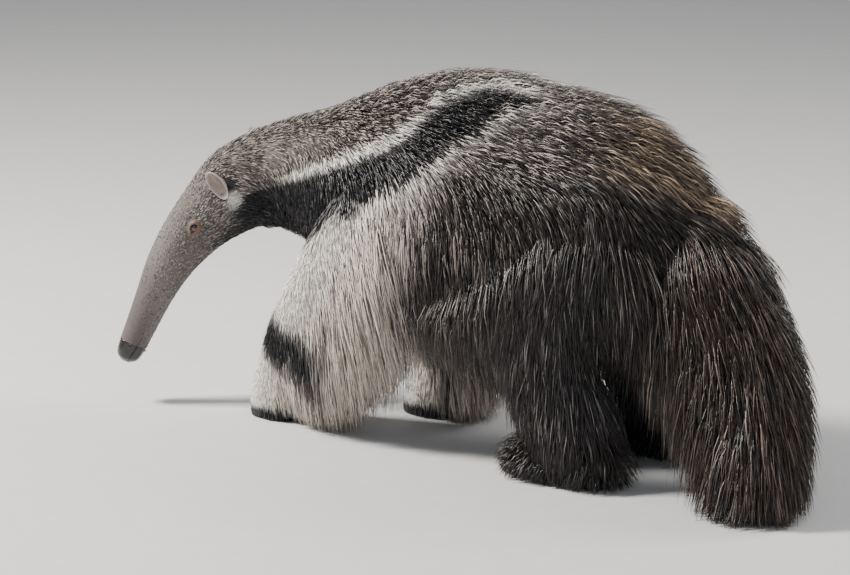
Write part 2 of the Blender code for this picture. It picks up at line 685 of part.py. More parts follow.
def ball(name, centre, radius, segments=14, rings=8):
    bm = bmesh.new()
    bmesh.ops.create_uvsphere(bm, u_segments=segments, v_segments=rings, radius=radius)
    bmesh.ops.translate(bm, verts=bm.verts, vec=centre)
    return object_of(name, bm)


def eye_centre(side):
    return head_point(EYE_S, EYE_Z, -side * EYE_LEFT)


def eyelids(side):
    """A raised rim round the eye, narrower from top to bottom than from front to back."""
    out = head_way(LID_OUT, -side)
    along = head_way(LID_ALONG, -side)
    along = (along - out * along.dot(out)).normalized()
    over = out.cross(along)
    centre = head_point(EYE_S, EYE_Z, -side * LID_LEFT)
    rows = []
    bm = bmesh.new()
    turns, sides = 14, 5
    for i in range(turns):
        angle = 2 * math.pi * i / turns
        radial = along * (math.cos(angle) * LID_STRETCH[0]) + over * (math.sin(angle) * LID_STRETCH[1])
        ring = []
        for k in range(sides):
            turn = 2 * math.pi * k / sides
            away = radial * (LID_RADIUS + LID_THICKNESS * math.cos(turn))
            ring.append(bm.verts.new(centre + away + out * (LID_THICKNESS * 1.2 * math.sin(turn))))
        rows.append(ring)
    for i in range(turns):
        for k in range(sides):
            quad = (rows[i][k], rows[i][(k + 1) % sides])
            near = rows[(i + 1) % turns]
            bm.faces.new((quad[0], quad[1], near[(k + 1) % sides], near[k]))
    return object_of("lids", bm)


def mouth_groove(side):
    """A thin wedge that cuts the line of the mouth into one side of the snout's tip."""
    start = head_point(*MOUTH_START)
    end = head_point(*MOUTH_END)
    along = (end - start).normalized()
    over = along.cross(HEAD_LEFT)
    out = HEAD_LEFT * -side
    bm = bmesh.new()
    rings = []
    for share in (0.0, 0.5, 1.0):
        at = start + (end - start) * share
        inner = at + out * MOUTH_INNER
        outer = at + out * MOUTH_OUTER
        corners = (
            inner - over * MOUTH_HALF_HEIGHT,
            outer - over * MOUTH_HALF_HEIGHT * MOUTH_FLARE,
            outer + over * MOUTH_HALF_HEIGHT * MOUTH_FLARE,
            inner + over * MOUTH_HALF_HEIGHT,
        )
        rings.append([bm.verts.new(c) for c in corners])
    bridge(bm, rings)
    return object_of("mouth", bm)


def claw(name, root, way, bend, length, radius, grow=0.0):
    """A curved pointed claw from its root, first along way and then turning towards bend."""
    bm = bmesh.new()
    rings, sides, steps = [], 6, 4
    way, bend = Vector(way).normalized(), Vector(bend).normalized()
    across = way.cross(bend).normalized()
    for i in range(steps):
        share = i / steps
        heading = (way * math.cos(share) + bend * math.sin(share)).normalized()
        out = heading.cross(across).normalized()
        at = Vector(root) + way * (length * math.sin(share)) + bend * (length * (1 - math.cos(share)))
        thick = radius * (1 - share**1.5) + grow
        ring = []
        for k in range(sides):
            turn = 2 * math.pi * k / sides
            around = across * (math.cos(turn) * 0.8) + out * math.sin(turn)
            ring.append(bm.verts.new(at + around * thick))
        if i == 0:
            for vert in ring:
                vert.co -= way * grow
        rings.append(ring)
    for low, high in zip(rings, rings[1:]):
        for k in range(sides):
            bm.faces.new((low[k], low[(k + 1) % sides], high[(k + 1) % sides], high[k]))
    bm.faces.new(rings[0][::-1])
    tip = Vector(root) + way * (length * math.sin(1.0)) + bend * (length * (1 - math.cos(1.0)))
    tip += (way * math.cos(1.0) + bend * math.sin(1.0)) * (grow * CLAW_TIP_GROWTH)
    tip = bm.verts.new(tip)
    for k in range(sides):
        bm.faces.new((rings[-1][k], rings[-1][(k + 1) % sides], tip))
    return object_of(name, bm)


def fore_claws(side, grow=0.0):
    rows = FORELEG_LEFT if side < 0 else FORELEG_RIGHT
    x, y = rows[7][0], rows[7][1]
    word = "left" if side < 0 else "right"
    made = []
    for n, (aside, length, radius) in enumerate(FORE_CLAWS):
        root = (x + FORE_CLAW_BEHIND, y + aside, FORE_CLAW_HEIGHT + radius)
        made.append(claw(f"claw_fore_{word}_{n + 1}", root, FORE_CLAW_WAY, UP, length, radius, grow))
    return made


def hind_claws(side, back, grow=0.0):
    word = "left" if side < 0 else "right"
    made = []
    for n, aside in enumerate(HIND_CLAWS):
        x = ANKLE_X + back - HIND_CLAW_AHEAD + HIND_CLAW_ARC * abs(aside)
        root = (x, side * ANKLE_Y + aside, HIND_CLAW_HEIGHT)
        way = (-1.0, aside * HIND_CLAW_FAN, 0.10)
        length, radius = HIND_CLAW_LENGTH, HIND_CLAW_RADIUS
        made.append(claw(f"claw_hind_{word}_{n + 1}", root, way, -UP, length, radius, grow))
    return made


def fur(name, colour, roughness):
    material = bpy.data.materials.new(name)
    material.use_nodes = True
    shader = material.node_tree.nodes["Principled BSDF"]
    shader.inputs["Base Color"].default_value = (*colour, 1.0)
    shader.inputs["Roughness"].default_value = roughness
    shader.inputs["Metallic"].default_value = 0.0
    return material


COLOURS = {
    "head": ((0.26, 0.22, 0.19), 0.8),
    "neck": ((0.14, 0.12, 0.10), 0.85),
    "torso": ((0.09, 0.075, 0.065), 0.85),
    "foreleg": ((0.66, 0.62, 0.54), 0.85),
    "hindleg": ((0.05, 0.042, 0.038), 0.85),
    "tail": ((0.07, 0.055, 0.045), 0.85),
    "ear": ((0.36, 0.30, 0.27), 0.7),
    "eye": ((0.02, 0.012, 0.008), 0.08),
    "nose": ((0.015, 0.014, 0.014), 0.3),
    "claw": ((0.40, 0.34, 0.26), 0.4),
}


def dress(obj):
    """Gives a node its own material, by the first word of its name, and smooth shading."""
    colour, roughness = COLOURS[obj.name.split("_")[0]]
    obj.data.materials.clear()
    obj.data.materials.append(fur(obj.name, colour, roughness))
    obj.data.shade_smooth()
    obj.data.set_sharp_from_angle(angle=math.radians(40))


def node_from(whole, name, planes, minus=()):
    """A part of the whole between its planes, shrunk by half a gap, clear of the blocks in minus."""
    part = copy_of(whole, name)
    boolean(part, "INTERSECT", [block("cell", planes, -GAP / 2)])
    boolean(part, "DIFFERENCE", [block("cell", other, GAP / 2) for other in minus])
    return keep_largest(part)


def head_with_features():
    """The head with lids, mouth and nostrils, still in one piece with its nose."""
    head = loft("head_whole", head_rows(), HEAD_LEFT, sides=18, steps=3)
    boolean(head, "UNION", [eyelids(-1), eyelids(1)])
    cutters = [mouth_groove(-1), mouth_groove(1)]
    for side in (-1, 1):
        cutters.append(ear_pocket(side))
        cutters.append(ball("eye_pocket", eye_centre(side), EYE_RADIUS + GAP))
        nostril = head_point(NOSTRIL_S, NOSTRIL_Z, -side * NOSTRIL_LEFT)
        cutters.append(ball("nostril", nostril, NOSTRIL_RADIUS, 10, 6))
    boolean(head, "DIFFERENCE", cutters)
    return head


def stand_on_floor(objects):
    """Moves the whole so that its bounding box has its bottom middle at the origin."""
    low = Vector([min(v.co[k] for o in objects for v in o.data.vertices) for k in range(3)])
    high = Vector([max(v.co[k] for o in objects for v in o.data.vertices) for k in range(3)])
    middle = (low + high) / 2
    for obj in objects:
        obj.data.transform(Matrix.Translation((-middle.x, -middle.y, 0.0)))


def build_model():
    clear_scene()
    core = core_of_body()
    coat = Coat(core, COAT_SEED)
    grow_mane(coat)
    grow_flanks(coat)
    grow_legs(coat)
    grow_tail(coat)
    boolean(core, "UNION", coat.locks)
    thinned(core, COAT_SHARE)
    boolean(core, "INTERSECT", [block("above_floor", (((0, 0, 0), (0, 0, -1)),))])

    nodes = []
    leg_blocks = list(LEG_PARTS.values())
    for name, planes in TRUNK_PARTS.items():
        if name != "head":
            nodes.append(node_from(core, name, planes, leg_blocks))
    for name, planes in LEG_PARTS.items():
        nodes.append(node_from(core, name, planes))
    bpy.data.objects.remove(core)
    made = {node.name: node for node in nodes}

    whole_head = head_with_features()
    tip = head_point(NOSE_CUT_S, NOSE_CUT_Z)
    tip_ahead = HEAD_FORWARD * NOSE_CUT_OUT[0] + UP * NOSE_CUT_OUT[1]
    nodes.append(node_from(whole_head, "head", (*HEAD_PLANES, (tip, tip_ahead))))
    nodes.append(node_from(whole_head, "nose", ((tip, -tip_ahead),)))
    bpy.data.objects.remove(whole_head)
    for side, word in ((-1, "left"), (1, "right")):
        nodes += [ear(side), ball(f"eye_{word}", eye_centre(side), EYE_RADIUS)]
        back = 0.0 if side < 0 else RIGHT_HIND_BACK
        nodes += fore_claws(side) + hind_claws(side, back)
        keep_largest(boolean(made[f"foreleg_{word}"], "DIFFERENCE", fore_claws(side, GAP)))
        keep_largest(boolean(made[f"hindleg_{word}"], "DIFFERENCE", hind_claws(side, back, GAP)))

    stand_on_floor(nodes)
    for node in nodes:
        dress(node)


build_model()
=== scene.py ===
"""Giant anteater, life size, in mid stride with its snout lowered. The skin, the bare parts and the
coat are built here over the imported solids, in metres: it faces -X, its left side is -Y and +Z is up.
"""

import math

import bpy
import numpy as np
from mathutils import Matrix, Vector
from mathutils.bvhtree import BVHTree
from mathutils.kdtree import KDTree


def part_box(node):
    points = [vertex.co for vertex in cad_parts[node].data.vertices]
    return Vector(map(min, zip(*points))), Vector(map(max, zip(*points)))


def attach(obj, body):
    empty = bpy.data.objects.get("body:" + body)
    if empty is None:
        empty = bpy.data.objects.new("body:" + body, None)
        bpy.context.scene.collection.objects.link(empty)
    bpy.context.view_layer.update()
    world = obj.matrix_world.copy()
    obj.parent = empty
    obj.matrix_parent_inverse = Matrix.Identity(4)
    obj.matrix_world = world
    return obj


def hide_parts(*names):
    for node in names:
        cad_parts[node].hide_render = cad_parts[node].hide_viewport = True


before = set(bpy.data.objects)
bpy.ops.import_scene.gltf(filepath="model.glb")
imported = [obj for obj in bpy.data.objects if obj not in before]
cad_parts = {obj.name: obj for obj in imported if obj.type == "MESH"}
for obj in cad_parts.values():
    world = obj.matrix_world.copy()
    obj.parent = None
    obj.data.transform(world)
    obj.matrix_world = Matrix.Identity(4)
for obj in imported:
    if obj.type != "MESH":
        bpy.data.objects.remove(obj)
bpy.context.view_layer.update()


# Skin of the whole animal.
# Under the hair the body is one hide over muscle: a long tapered head, a deep trunk, four legs and a
# tail that is a flat blade. It is drawn as tubes through rows of sizes and blended into one surface.
HEAD_TURN = math.radians(37)
FORWARD = np.array([-math.cos(HEAD_TURN), -math.sin(HEAD_TURN), 0.0])
LEFT = np.array([math.sin(HEAD_TURN), -math.cos(HEAD_TURN), 0.0])
UP = np.array([0.0, 0.0, 1.0])
NECK_FRONT = np.array([-0.309, 0.0, 0.0])
EYE_PLACE = (0.185, 0.329, 0.0408)
# A row of the head: how far along FORWARD from the neck's front, height, half width, half depth.
HEAD_ROWS = (
    (0.020, 0.422, 0.052, 0.076),
    (0.060, 0.411, 0.0600, 0.0820),
    (0.105, 0.394, 0.0570, 0.0765),
    (0.140, 0.367, 0.0522, 0.0667),
    (0.180, 0.328, 0.0453, 0.0548),
    (0.215, 0.284, 0.0380, 0.0460),
    (0.242, 0.240, 0.0326, 0.0386),
    (0.266, 0.190, 0.0277, 0.0317),
    (0.288, 0.140, 0.0243, 0.0273),
    (0.304, 0.104, 0.0224, 0.0244),
    (0.313, 0.086, 0.0189, 0.0199),
    (0.317, 0.0775, 0.0090, 0.0100),
)
# A row of any other limb: x, y, height, half width and half depth of the hide under the hair.
TRUNK_ROWS = (
    (-0.380, -0.053, 0.411, 0.057, 0.077),
    (-0.330, -0.022, 0.419, 0.065, 0.090),
    (-0.270, -0.004, 0.424, 0.077, 0.106),
    (-0.200, 0.000, 0.421, 0.093, 0.133),
    (-0.110, 0.000, 0.417, 0.110, 0.160),
    (0.000, 0.000, 0.418, 0.122, 0.172),
    (0.110, 0.000, 0.415, 0.128, 0.171),
    (0.220, 0.000, 0.415, 0.128, 0.159),
    (0.320, 0.000, 0.416, 0.118, 0.141),
    (0.400, 0.000, 0.419, 0.096, 0.113),
    (0.465, 0.000, 0.423, 0.064, 0.076),
    (0.500, 0.000, 0.427, 0.038, 0.040),
)
TAIL_ROWS = (
    (0.440, 0.000, 0.430, 0.050, 0.060),
    (0.485, -0.002, 0.400, 0.042, 0.070),
    (0.542, -0.010, 0.346, 0.036, 0.068),
    (0.614, -0.026, 0.280, 0.033, 0.062),
    (0.675, -0.052, 0.198, 0.031, 0.050),
    (0.716, -0.085, 0.118, 0.028, 0.034),
    (0.734, -0.110, 0.062, 0.021, 0.023),
    (0.740, -0.118, 0.040, 0.010, 0.012),
)
FORELEG_LEFT_ROWS = (
    (-0.060, -0.066, 0.420, 0.044, 0.088),
    (-0.085, -0.094, 0.350, 0.053, 0.093),
    (-0.119, -0.113, 0.275, 0.055, 0.090),
    (-0.176, -0.118, 0.203, 0.052, 0.077),
    (-0.228, -0.114, 0.138, 0.046, 0.061),
    (-0.262, -0.105, 0.088, 0.041, 0.048),
    (-0.285, -0.098, 0.045, 0.042, 0.047),
    (-0.291, -0.095, 0.015, 0.0405, 0.048),
    (-0.291, -0.095, -0.020, 0.037, 0.045),
)
FORELEG_RIGHT_ROWS = (
    (-0.060, 0.066, 0.420, 0.044, 0.088),
    (-0.070, 0.094, 0.350, 0.053, 0.091),
    (-0.047, 0.110, 0.275, 0.055, 0.084),
    (-0.045, 0.107, 0.203, 0.050, 0.069),
    (-0.057, 0.099, 0.138, 0.044, 0.056),
    (-0.069, 0.091, 0.088, 0.040, 0.046),
    (-0.080, 0.086, 0.045, 0.041, 0.047),
    (-0.086, 0.084, 0.015, 0.0405, 0.048),
    (-0.088, 0.084, -0.020, 0.037, 0.045),
)
HINDLEG_ROWS = (
    (0.370, 0.052, 0.430, 0.052, 0.102),
    (0.345, 0.077, 0.360, 0.059, 0.108),
    (0.312, 0.101, 0.280, 0.059, 0.092),
    (0.320, 0.116, 0.205, 0.052, 0.071),
    (0.348, 0.118, 0.135, 0.042, 0.053),
    (0.367, 0.118, 0.080, 0.037, 0.045),
    (0.372, 0.118, 0.040, 0.035, 0.043),
)
HIND_FOOT_ROWS = (
    (0.437, 0.118, 0.040, 0.016, 0.016),
    (0.417, 0.118, 0.037, 0.030, 0.034),
    (0.372, 0.118, 0.035, 0.0355, 0.0395),
    (0.322, 0.118, 0.027, 0.0365, 0.0355),
    (0.277, 0.118, 0.019, 0.0375, 0.0265),
    (0.247, 0.118, 0.013, 0.0325, 0.0175),
    (0.234, 0.118, 0.0095, 0.0165, 0.0090),
)
# The loose skin that joins the flank to the thigh, from the thigh forwards.
FLANK_FOLD_ROWS = (
    (0.325, 0.080, 0.345, 0.060, 0.118),
    (0.260, 0.074, 0.340, 0.058, 0.120),
    (0.180, 0.066, 0.342, 0.054, 0.108),
    (0.090, 0.052, 0.345, 0.044, 0.086),
)
RIGHT_HIND_BACK = 0.045


def unit(vectors):
    """Vectors scaled to length one, whatever the shape of the array that holds them."""
    return vectors / np.maximum(np.linalg.norm(vectors, axis=-1, keepdims=True), 1e-12)


def smooth_rows(rows, steps):
    """Rows read along a smooth curve through the given ones, with steps from each to the next."""
    p = np.array(rows, float)
    ends = np.vstack([2 * p[0] - p[1], p, 2 * p[-1] - p[-2]])
    made = []
    for i in range(len(p) - 1):
        a, b, c, d = ends[i : i + 4]
        square, cube = 2 * a - 5 * b + 4 * c - d, 3 * b - a - 3 * c + d
        for t in np.arange(steps) / steps:
            made.append(0.5 * (2 * b + (c - a) * t + square * t**2 + cube * t**3))
    made.append(p[-1])
    return np.array(made)


def head_point(s, z, left=0.0):
    """A point by its place in the head's upright middle plane and how far it lies to the left."""
    return NECK_FRONT + FORWARD * s + LEFT * left + UP * z


eye_low, eye_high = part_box("eye_left")
PLACE = (np.array(eye_low) + np.array(eye_high)) / 2 - head_point(*EYE_PLACE)
PLACE[2] = 0.0
NECK_FRONT = NECK_FRONT + PLACE


def placed(rows, side=1.0, back=0.0):
    """Rows moved to where the solids stand, with y times side, and all set back by the same step."""
    rows = np.array(rows, float)
    rows[:, 0] += PLACE[0] + back
    rows[:, 1] = rows[:, 1] * side + PLACE[1]
    return rows


def hind_leg(side, back):
    """Rows of a hind leg that is set back more and more from the hip down to the ankle."""
    rows = placed(HINDLEG_ROWS, side)
    rows[:, 0] += back * np.linspace(0.0, 1.0, len(rows))
    return rows


HEAD = np.array([(*head_point(s, z), a, b) for s, z, a, b in HEAD_ROWS])
LIMBS = {
    "head": HEAD,
    "trunk": placed(TRUNK_ROWS),
    "tail": placed(TAIL_ROWS),
    "foreleg_left": placed(FORELEG_LEFT_ROWS),
    "foreleg_right": placed(FORELEG_RIGHT_ROWS),
    "hindleg_left": hind_leg(-1.0, 0.0),
    "hindleg_right": hind_leg(1.0, RIGHT_HIND_BACK),
    "hindfoot_left": placed(HIND_FOOT_ROWS, -1.0),
    "hindfoot_right": placed(HIND_FOOT_ROWS, 1.0, RIGHT_HIND_BACK),
}
LIMB_NAMES = list(LIMBS)


def tube(rows, side, sides):
    """Rings of points round a smooth line of rows, as an array (rings, sides, 3)."""
    ahead = unit(np.gradient(rows[:, :3], axis=0))
    across = unit(side - ahead * (ahead @ side)[:, None])
    above = np.cross(ahead, across)
    turn = 2 * math.pi * np.arange(sides) / sides
    wide = np.cos(turn)[None, :, None] * rows[:, 3][:, None, None] * across[:, None, :]
    tall = np.sin(turn)[None, :, None] * rows[:, 4][:, None, None] * above[:, None, :]
    return rows[:, None, :3] + wide + tall


def tube_faces(rings, sides, start=0):
    """Faces of a closed tube whose ring points are numbered from start on."""
    faces = []
    for i in range(rings - 1):
        for k in range(sides):
            a, b = start + i * sides + k, start + i * sides + (k + 1) % sides
            faces.append((a, b, b + sides, a + sides))
    faces.append(tuple(range(start + sides - 1, start - 1, -1)))
    faces.append(tuple(range(start + (rings - 1) * sides, start + rings * sides)))
    return faces


def mesh_object(name, points, faces):
    """A smooth-shaded object of these points and faces, in the scene."""
    mesh = bpy.data.meshes.new(name)
    mesh.from_pydata([tuple(p) for p in np.asarray(points).reshape(-1, 3)], [], faces)
    mesh.validate()
    mesh.shade_smooth()
    made = bpy.data.objects.new(name, mesh)
    bpy.context.scene.collection.objects.link(made)
    return made


def points_of(mesh, what="co"):
    values = np.empty(len(mesh.vertices) * 3)
    mesh.vertices.foreach_get(what, values)
    return values.reshape(-1, 3)


BODY_VOXEL, BODY_SIDES, BODY_STEPS, SMOOTH_ROUNDS, SMOOTH_SHARE = 0.0055, 40, 5, 8, 0.5
# The first rows of the head are in the blend too, slimmer than the fine head that covers them.
HEAD_CORE_ROWS, HEAD_CORE_SLIMMER, SOLE_HEIGHT = 4, 0.004, 0.0006
SIDEWAYS = np.array([0.0, 1.0, 0.0])
FOLDS = {
    "fold_left": placed(FLANK_FOLD_ROWS, -1.0),
    "fold_right": placed(FLANK_FOLD_ROWS, 1.0, RIGHT_HIND_BACK / 2),
}
points, faces = [], []
for limb, rows in {**LIMBS, **FOLDS}.items():
    rows = smooth_rows(rows[:HEAD_CORE_ROWS] if limb == "head" else rows, BODY_STEPS)
    if limb == "head":
        rows[:, 3:] -= HEAD_CORE_SLIMMER
    rings = tube(rows, LEFT if limb == "head" else SIDEWAYS, BODY_SIDES)
    faces += tube_faces(len(rings), BODY_SIDES, len(points))
    points += list(rings.reshape(-1, 3))
body = mesh_object("skin", points, faces)
blend = body.modifiers.new("blend", "REMESH")
blend.mode = "VOXEL"
blend.voxel_size = BODY_VOXEL
evened = body.modifiers.new("evened", "SMOOTH")
evened.factor = SMOOTH_SHARE
evened.iterations = SMOOTH_ROUNDS
graph = bpy.context.evaluated_depsgraph_get()
graph.update()
blended = bpy.data.meshes.new_from_object(body.evaluated_get(graph), depsgraph=graph)
bpy.data.objects.remove(body)
body_points = points_of(blended)
body_points[:, 2] = np.maximum(body_points[:, 2], SOLE_HEIGHT)
body_faces = [tuple(face.vertices) for face in blended.polygons]

# The head is drawn much finer than the body, with the line of the mouth pressed into it.
HEAD_SIDES, HEAD_STEPS, NOSE_START, SNOUT_PAST_NOSE = 128, 14, 0.3035, 0.002
MOUTH_START, MOUTH_END, MOUTH_WIDTH, MOUTH_DEPTH = (0.311, 0.080), (0.284, 0.124), 0.0013, 0.0028
LIPS_MEET_WITHIN = 0.008


def press_mouth(points):
    """Points of the snout with the closed mouth's line pressed in on both sides."""
    flat = points - NECK_FRONT
    s, z, left = flat @ FORWARD, flat[..., 2], flat @ LEFT
    start, end = np.array(MOUTH_START), np.array(MOUTH_END)
    along = end - start
    share = ((s - start[0]) * along[0] + (z - start[1]) * along[1]) / (along @ along)
    share = np.clip(share, 0.0, 1.0)
    away = np.hypot(s - start[0] - along[0] * share, z - start[1] - along[1] * share)
    depth = MOUTH_DEPTH * np.exp(-((away / MOUTH_WIDTH) ** 2)) * (np.abs(left) > LIPS_MEET_WITHIN)
    return points - LEFT * (np.sign(left) * depth)[..., None]


EAR_PLACE = (0.142, 0.407, 0.063)
EAR_HALF_HEIGHT, EAR_HALF_WIDTH, EAR_DEPTH, EAR_WALL, EAR_STALK = 0.029, 0.019, 0.013, 0.0024, 0.010
# The ear's long axis and the way it opens, as shares of forward, up and outward.
EAR_AXIS, EAR_FACING = (0.44, 0.84, 0.32), (0.58, -0.06, 0.80)
# The hollow in the head behind the ear: its spare depth, its greatest depth, and where it starts.
EAR_SPARE, EAR_SUNK, EAR_HOLLOW_EDGE = 0.0015, 0.03, (1.25, 1.0)


def ear_frame(side):
    """The middle of an ear's opening, the way out of the head there, and the ear's own three axes."""
    outward = LEFT * -side
    upright = unit(FORWARD * EAR_AXIS[0] + UP * EAR_AXIS[1] + outward * EAR_AXIS[2])
    facing = outward * EAR_FACING[2] + FORWARD * EAR_FACING[0] + UP * EAR_FACING[1]
    facing = unit(facing - upright * (facing @ upright))
    middle = head_point(EAR_PLACE[0], EAR_PLACE[1], -side * EAR_PLACE[2])
    return middle, outward, upright, facing, np.cross(upright, facing)


def ear_reach(points, side):
    """How far points lie from the middle of an ear's opening, in half sizes, and how far ahead."""
    middle, _, upright, facing, broad = ear_frame(side)
    offset = points - middle
    across, tall = offset @ broad / EAR_HALF_WIDTH, offset @ upright / EAR_HALF_HEIGHT
    return np.hypot(across, tall), offset @ facing


def sink_ears(points):
    """Points of the head with the hollows in which the ears' cups stand."""
    for side in (-1, 1):
        reach, ahead = ear_reach(points, side)
        facing = ear_frame(side)[3]
        bottom = -(EAR_DEPTH * np.maximum(1 - reach**2, 0) + EAR_WALL + EAR_SPARE)
        depth = np.clip(ahead - bottom, 0, EAR_SUNK) * ease(reach, *EAR_HOLLOW_EDGE)
        points = points - facing * depth[..., None]
    return points


def ease(value, low, high):
    """0 below low, 1 above high, and smooth in between. low may be the larger one."""
    share = np.clip((value - low) / (high - low), 0.0, 1.0)
    return share * share * (3 - 2 * share)


fine = smooth_rows(HEAD, HEAD_STEPS)
fine_s = (fine[:, :3] - NECK_FRONT) @ FORWARD
snout = fine[fine_s < NOSE_START + SNOUT_PAST_NOSE]
head_rings = sink_ears(press_mouth(tube(snout, LEFT, HEAD_SIDES)))
head_start = len(body_points)
skin_points = np.vstack([body_points, head_rings.reshape(-1, 3)])
skin_faces = body_faces + tube_faces(len(head_rings), HEAD_SIDES, head_start)
skin = mesh_object("skin", skin_points, skin_faces)
skin_normals = points_of(skin.data, "normal")

LIMB_STEPS, LIMB_SHARPNESS = 8, 8.0
FINE_LIMBS = {name: smooth_rows(rows, LIMB_STEPS) for name, rows in LIMBS.items()}


def limbs_at(points):
    """How far each point belongs to each limb, and the nearest row of every limb to it."""
    scores, nearest = [], []
    for name in LIMB_NAMES:
        rows = FINE_LIMBS[name]
        away = np.linalg.norm(points[:, None, :] - rows[None, :, :3], axis=2)
        score = away / ((rows[:, 3] + rows[:, 4]) / 2)
        best = score.argmin(axis=1)
        scores.append(score[np.arange(len(points)), best])
        nearest.append(best)
    weight = np.array(scores).T ** -LIMB_SHARPNESS
    return weight / weight.sum(axis=1, keepdims=True), np.array(nearest).T


# Markings: a black band runs from the throat up and back over the shoulder to a point on the back,
# with a thin white line along its top and a broad white one below; the forelegs are white in front
# and grizzled behind, with a black wrist and black toes; flanks, hind legs and tail are near black,
# the flanks darker down the side partly as painted shade below the lit back.
# The band's edges are read along the body and round it, in degrees from the top of the trunk.
BAND_X = (-0.36, -0.273, -0.207, -0.142, -0.086, -0.031, 0.017, 0.045, 0.104, 0.158, 0.24, 0.30)
BAND_TOP = (112, 95, 79, 67, 59, 52, 41, 31, 22, 15, 15, 16)
BAND_LOW_X = (-0.36, -0.25, -0.17, -0.105, -0.044, 0.028, 0.079, 0.117, 0.158, 0.194, 0.24, 0.30)
BAND_LOW = (200, 165, 128, 104, 90, 71, 54, 42, 32, 24, 18, 14)
BROWN_BLACK, SOOT, CREAM = (0.016, 0.012, 0.011), (0.010, 0.0095, 0.011), (0.92, 0.88, 0.82)
BACK_DARK, BACK_PALE = (0.036, 0.027, 0.024), (0.48, 0.41, 0.36)
FLANK_DARK, FLANK_PALE = (0.015, 0.011, 0.010), (0.26, 0.215, 0.19)
SHOULDER_PALE, GRIZZLED = (0.80, 0.71, 0.63), (0.74, 0.64, 0.56)
GRIZZLED_DARK, WHITE_LEG_DARK = (0.060, 0.044, 0.036), (0.50, 0.46, 0.41)
# The hind legs' grey pale hair is partly a painted sheen.
HIND_PALE_AND_SHEEN, RUMP_PALE_AND_HIGHLIGHT = (0.22, 0.20, 0.195), (0.56, 0.41, 0.27)
TAIL_DARK, TAIL_PALE = (0.020, 0.013, 0.011), (0.17, 0.12, 0.095)
HEAD_DARK, HEAD_PALE = (0.022, 0.017, 0.016), (0.46, 0.40, 0.37)
SNOUT_DARK, SNOUT_PALE, NOSE_PALE = (0.062, 0.050, 0.047), (0.17, 0.14, 0.13), (0.03, 0.028, 0.03)
WHITE_ROOTS, BLACK_GLINT = (0.52, 0.47, 0.42), (0.15, 0.14, 0.145)
# The share of pale hairs in each region, and what is added to it at rump, tail top and hind foot; the
# straw-pale rump and tail top are partly painted highlight on the upper side.
BACK_SHARE, FLANK_SHARE, SHOULDER_SHARE, HIND_SHARE, TAIL_SHARE = 0.38, 0.20, 0.78, 0.17, 0.26
FORELEG_REAR_SHARE, FORELEG_MORE, HEAD_SHARE, WHITE_SHARE, BLACK_SHARE = 0.76, 0.24, 0.55, 0.97, 0.07
RUMP_MORE, TAIL_TOP_HIGHLIGHT_MORE, HIND_FOOT_MORE = 0.02, 0.12, -0.10
# Where each region begins and where it is full. _X is along the body from just behind the shoulders,
# _ROUND is in degrees from the top of the trunk, _Z is a height and _S is along the head.
RUMP_X, RUMP_HIGHLIGHT_ROUND, RUMP_MORE_X, RUMP_MORE_ROUND = (0.30, 0.46), (70, 30), (0.32, 0.50), (60, 25)
FLANK_X, FLANK_ROUND = (-0.02, 0.10), (35, 75)
SHOULDER_X, SHOULDER_BELOW_BAND, SHOULDER_SLANT, SHOULDER_LEVEL = (0.135, 0.02), (0, 6), 0.0004, 60
HIND_FOOT_Z, TAIL_FAR_X, TAIL_TOP_HIGHLIGHT_ROUND = (0.12, 0.04), (0.53, 0.63), (80, 30)
BAND_END_X, BAND_HEAD_S, BAND_CROSSES_LEG_X = (0.275, 0.215), (0.122, 0.092), -0.11
LINE_START_X, LINE_THINS_X, LINE_HALF, LINE_THINNER = (-0.30, -0.26), (-0.05, 0.08), 5.4, 1.8
PALE_END_X, PALE_THINS_X, PALE_FADE, PALE_THINNER = (0.33, 0.22), (0.04, 0.18), 16, 10
# The rear of the head's underside is darkened, partly black hair and partly painted shade under the head.
CHIN_DARK_AND_SHADE_DOWN, CHIN_DARK_AND_SHADE_S = (0.35, 0.85), (0.185, 0.12)
THROAT_ROUND, THROAT_S, THROAT_X = (115, 140), (0.13, 0.09), (-0.20, -0.24)
BARE_SNOUT_S, NOSE_EDGE = (0.235, 0.30), (-0.012, -0.004)
NOSE_TIP, NOSE_WAY = (0.305, 0.102), (0.38, -0.925)
# On a foreleg, how far behind its middle line each edge lies, and the heights of wrist and toes.
LEG_FRONT, WRIST_REAR, TOES_REAR, TOES_Z = (-0.035, 0.075), (0.085, 0.04), (0.10, 0.06), (0.027, 0.014)
WRIST_HEIGHT, WRIST_SLANT, WRIST_HALF = 0.136, 0.60, 0.034
# How far a point has to belong to a limb before it takes the limb's colours.
HIND_BLEND, TAIL_BLEND, HEAD_BLEND = (0.15, 0.85), (0.2, 0.8), (0.35, 0.65)
FORELEG_BLEND, TOES_BLEND = (0.25, 0.75), (0.4, 0.6)
# The white tuft below the ear is hair; the black patch behind the ear is painted shadow of the ear on the
# neck.
EAR_TUFT_PLACE, EAR_SHADOW_PLACE = (-0.365, -0.113, 0.382), (-0.369, -0.117, 0.406)
EAR_TUFT_SIZE, EAR_SHADOW_SIZE = 0.016, 0.012


def mix(a, b, share):
    """Colours between a and b, each one colour or one for every point, by a share for every point."""
    a, b = np.asarray(a, float), np.asarray(b, float)
    return a + (b - a) * share[:, None]


def toward(value, goal, share):
    return value + (goal - value) * share


def trunk_angle(points):
    """The angle of points round the trunk from its top down either side, in degrees."""
    rows = FINE_LIMBS["trunk"]
    y = np.interp(points[:, 0], rows[:, 0], rows[:, 1])
    z = np.interp(points[:, 0], rows[:, 0], rows[:, 2])
    return np.degrees(np.arctan2(np.abs(points[:, 1] - y), points[:, 2] - z))


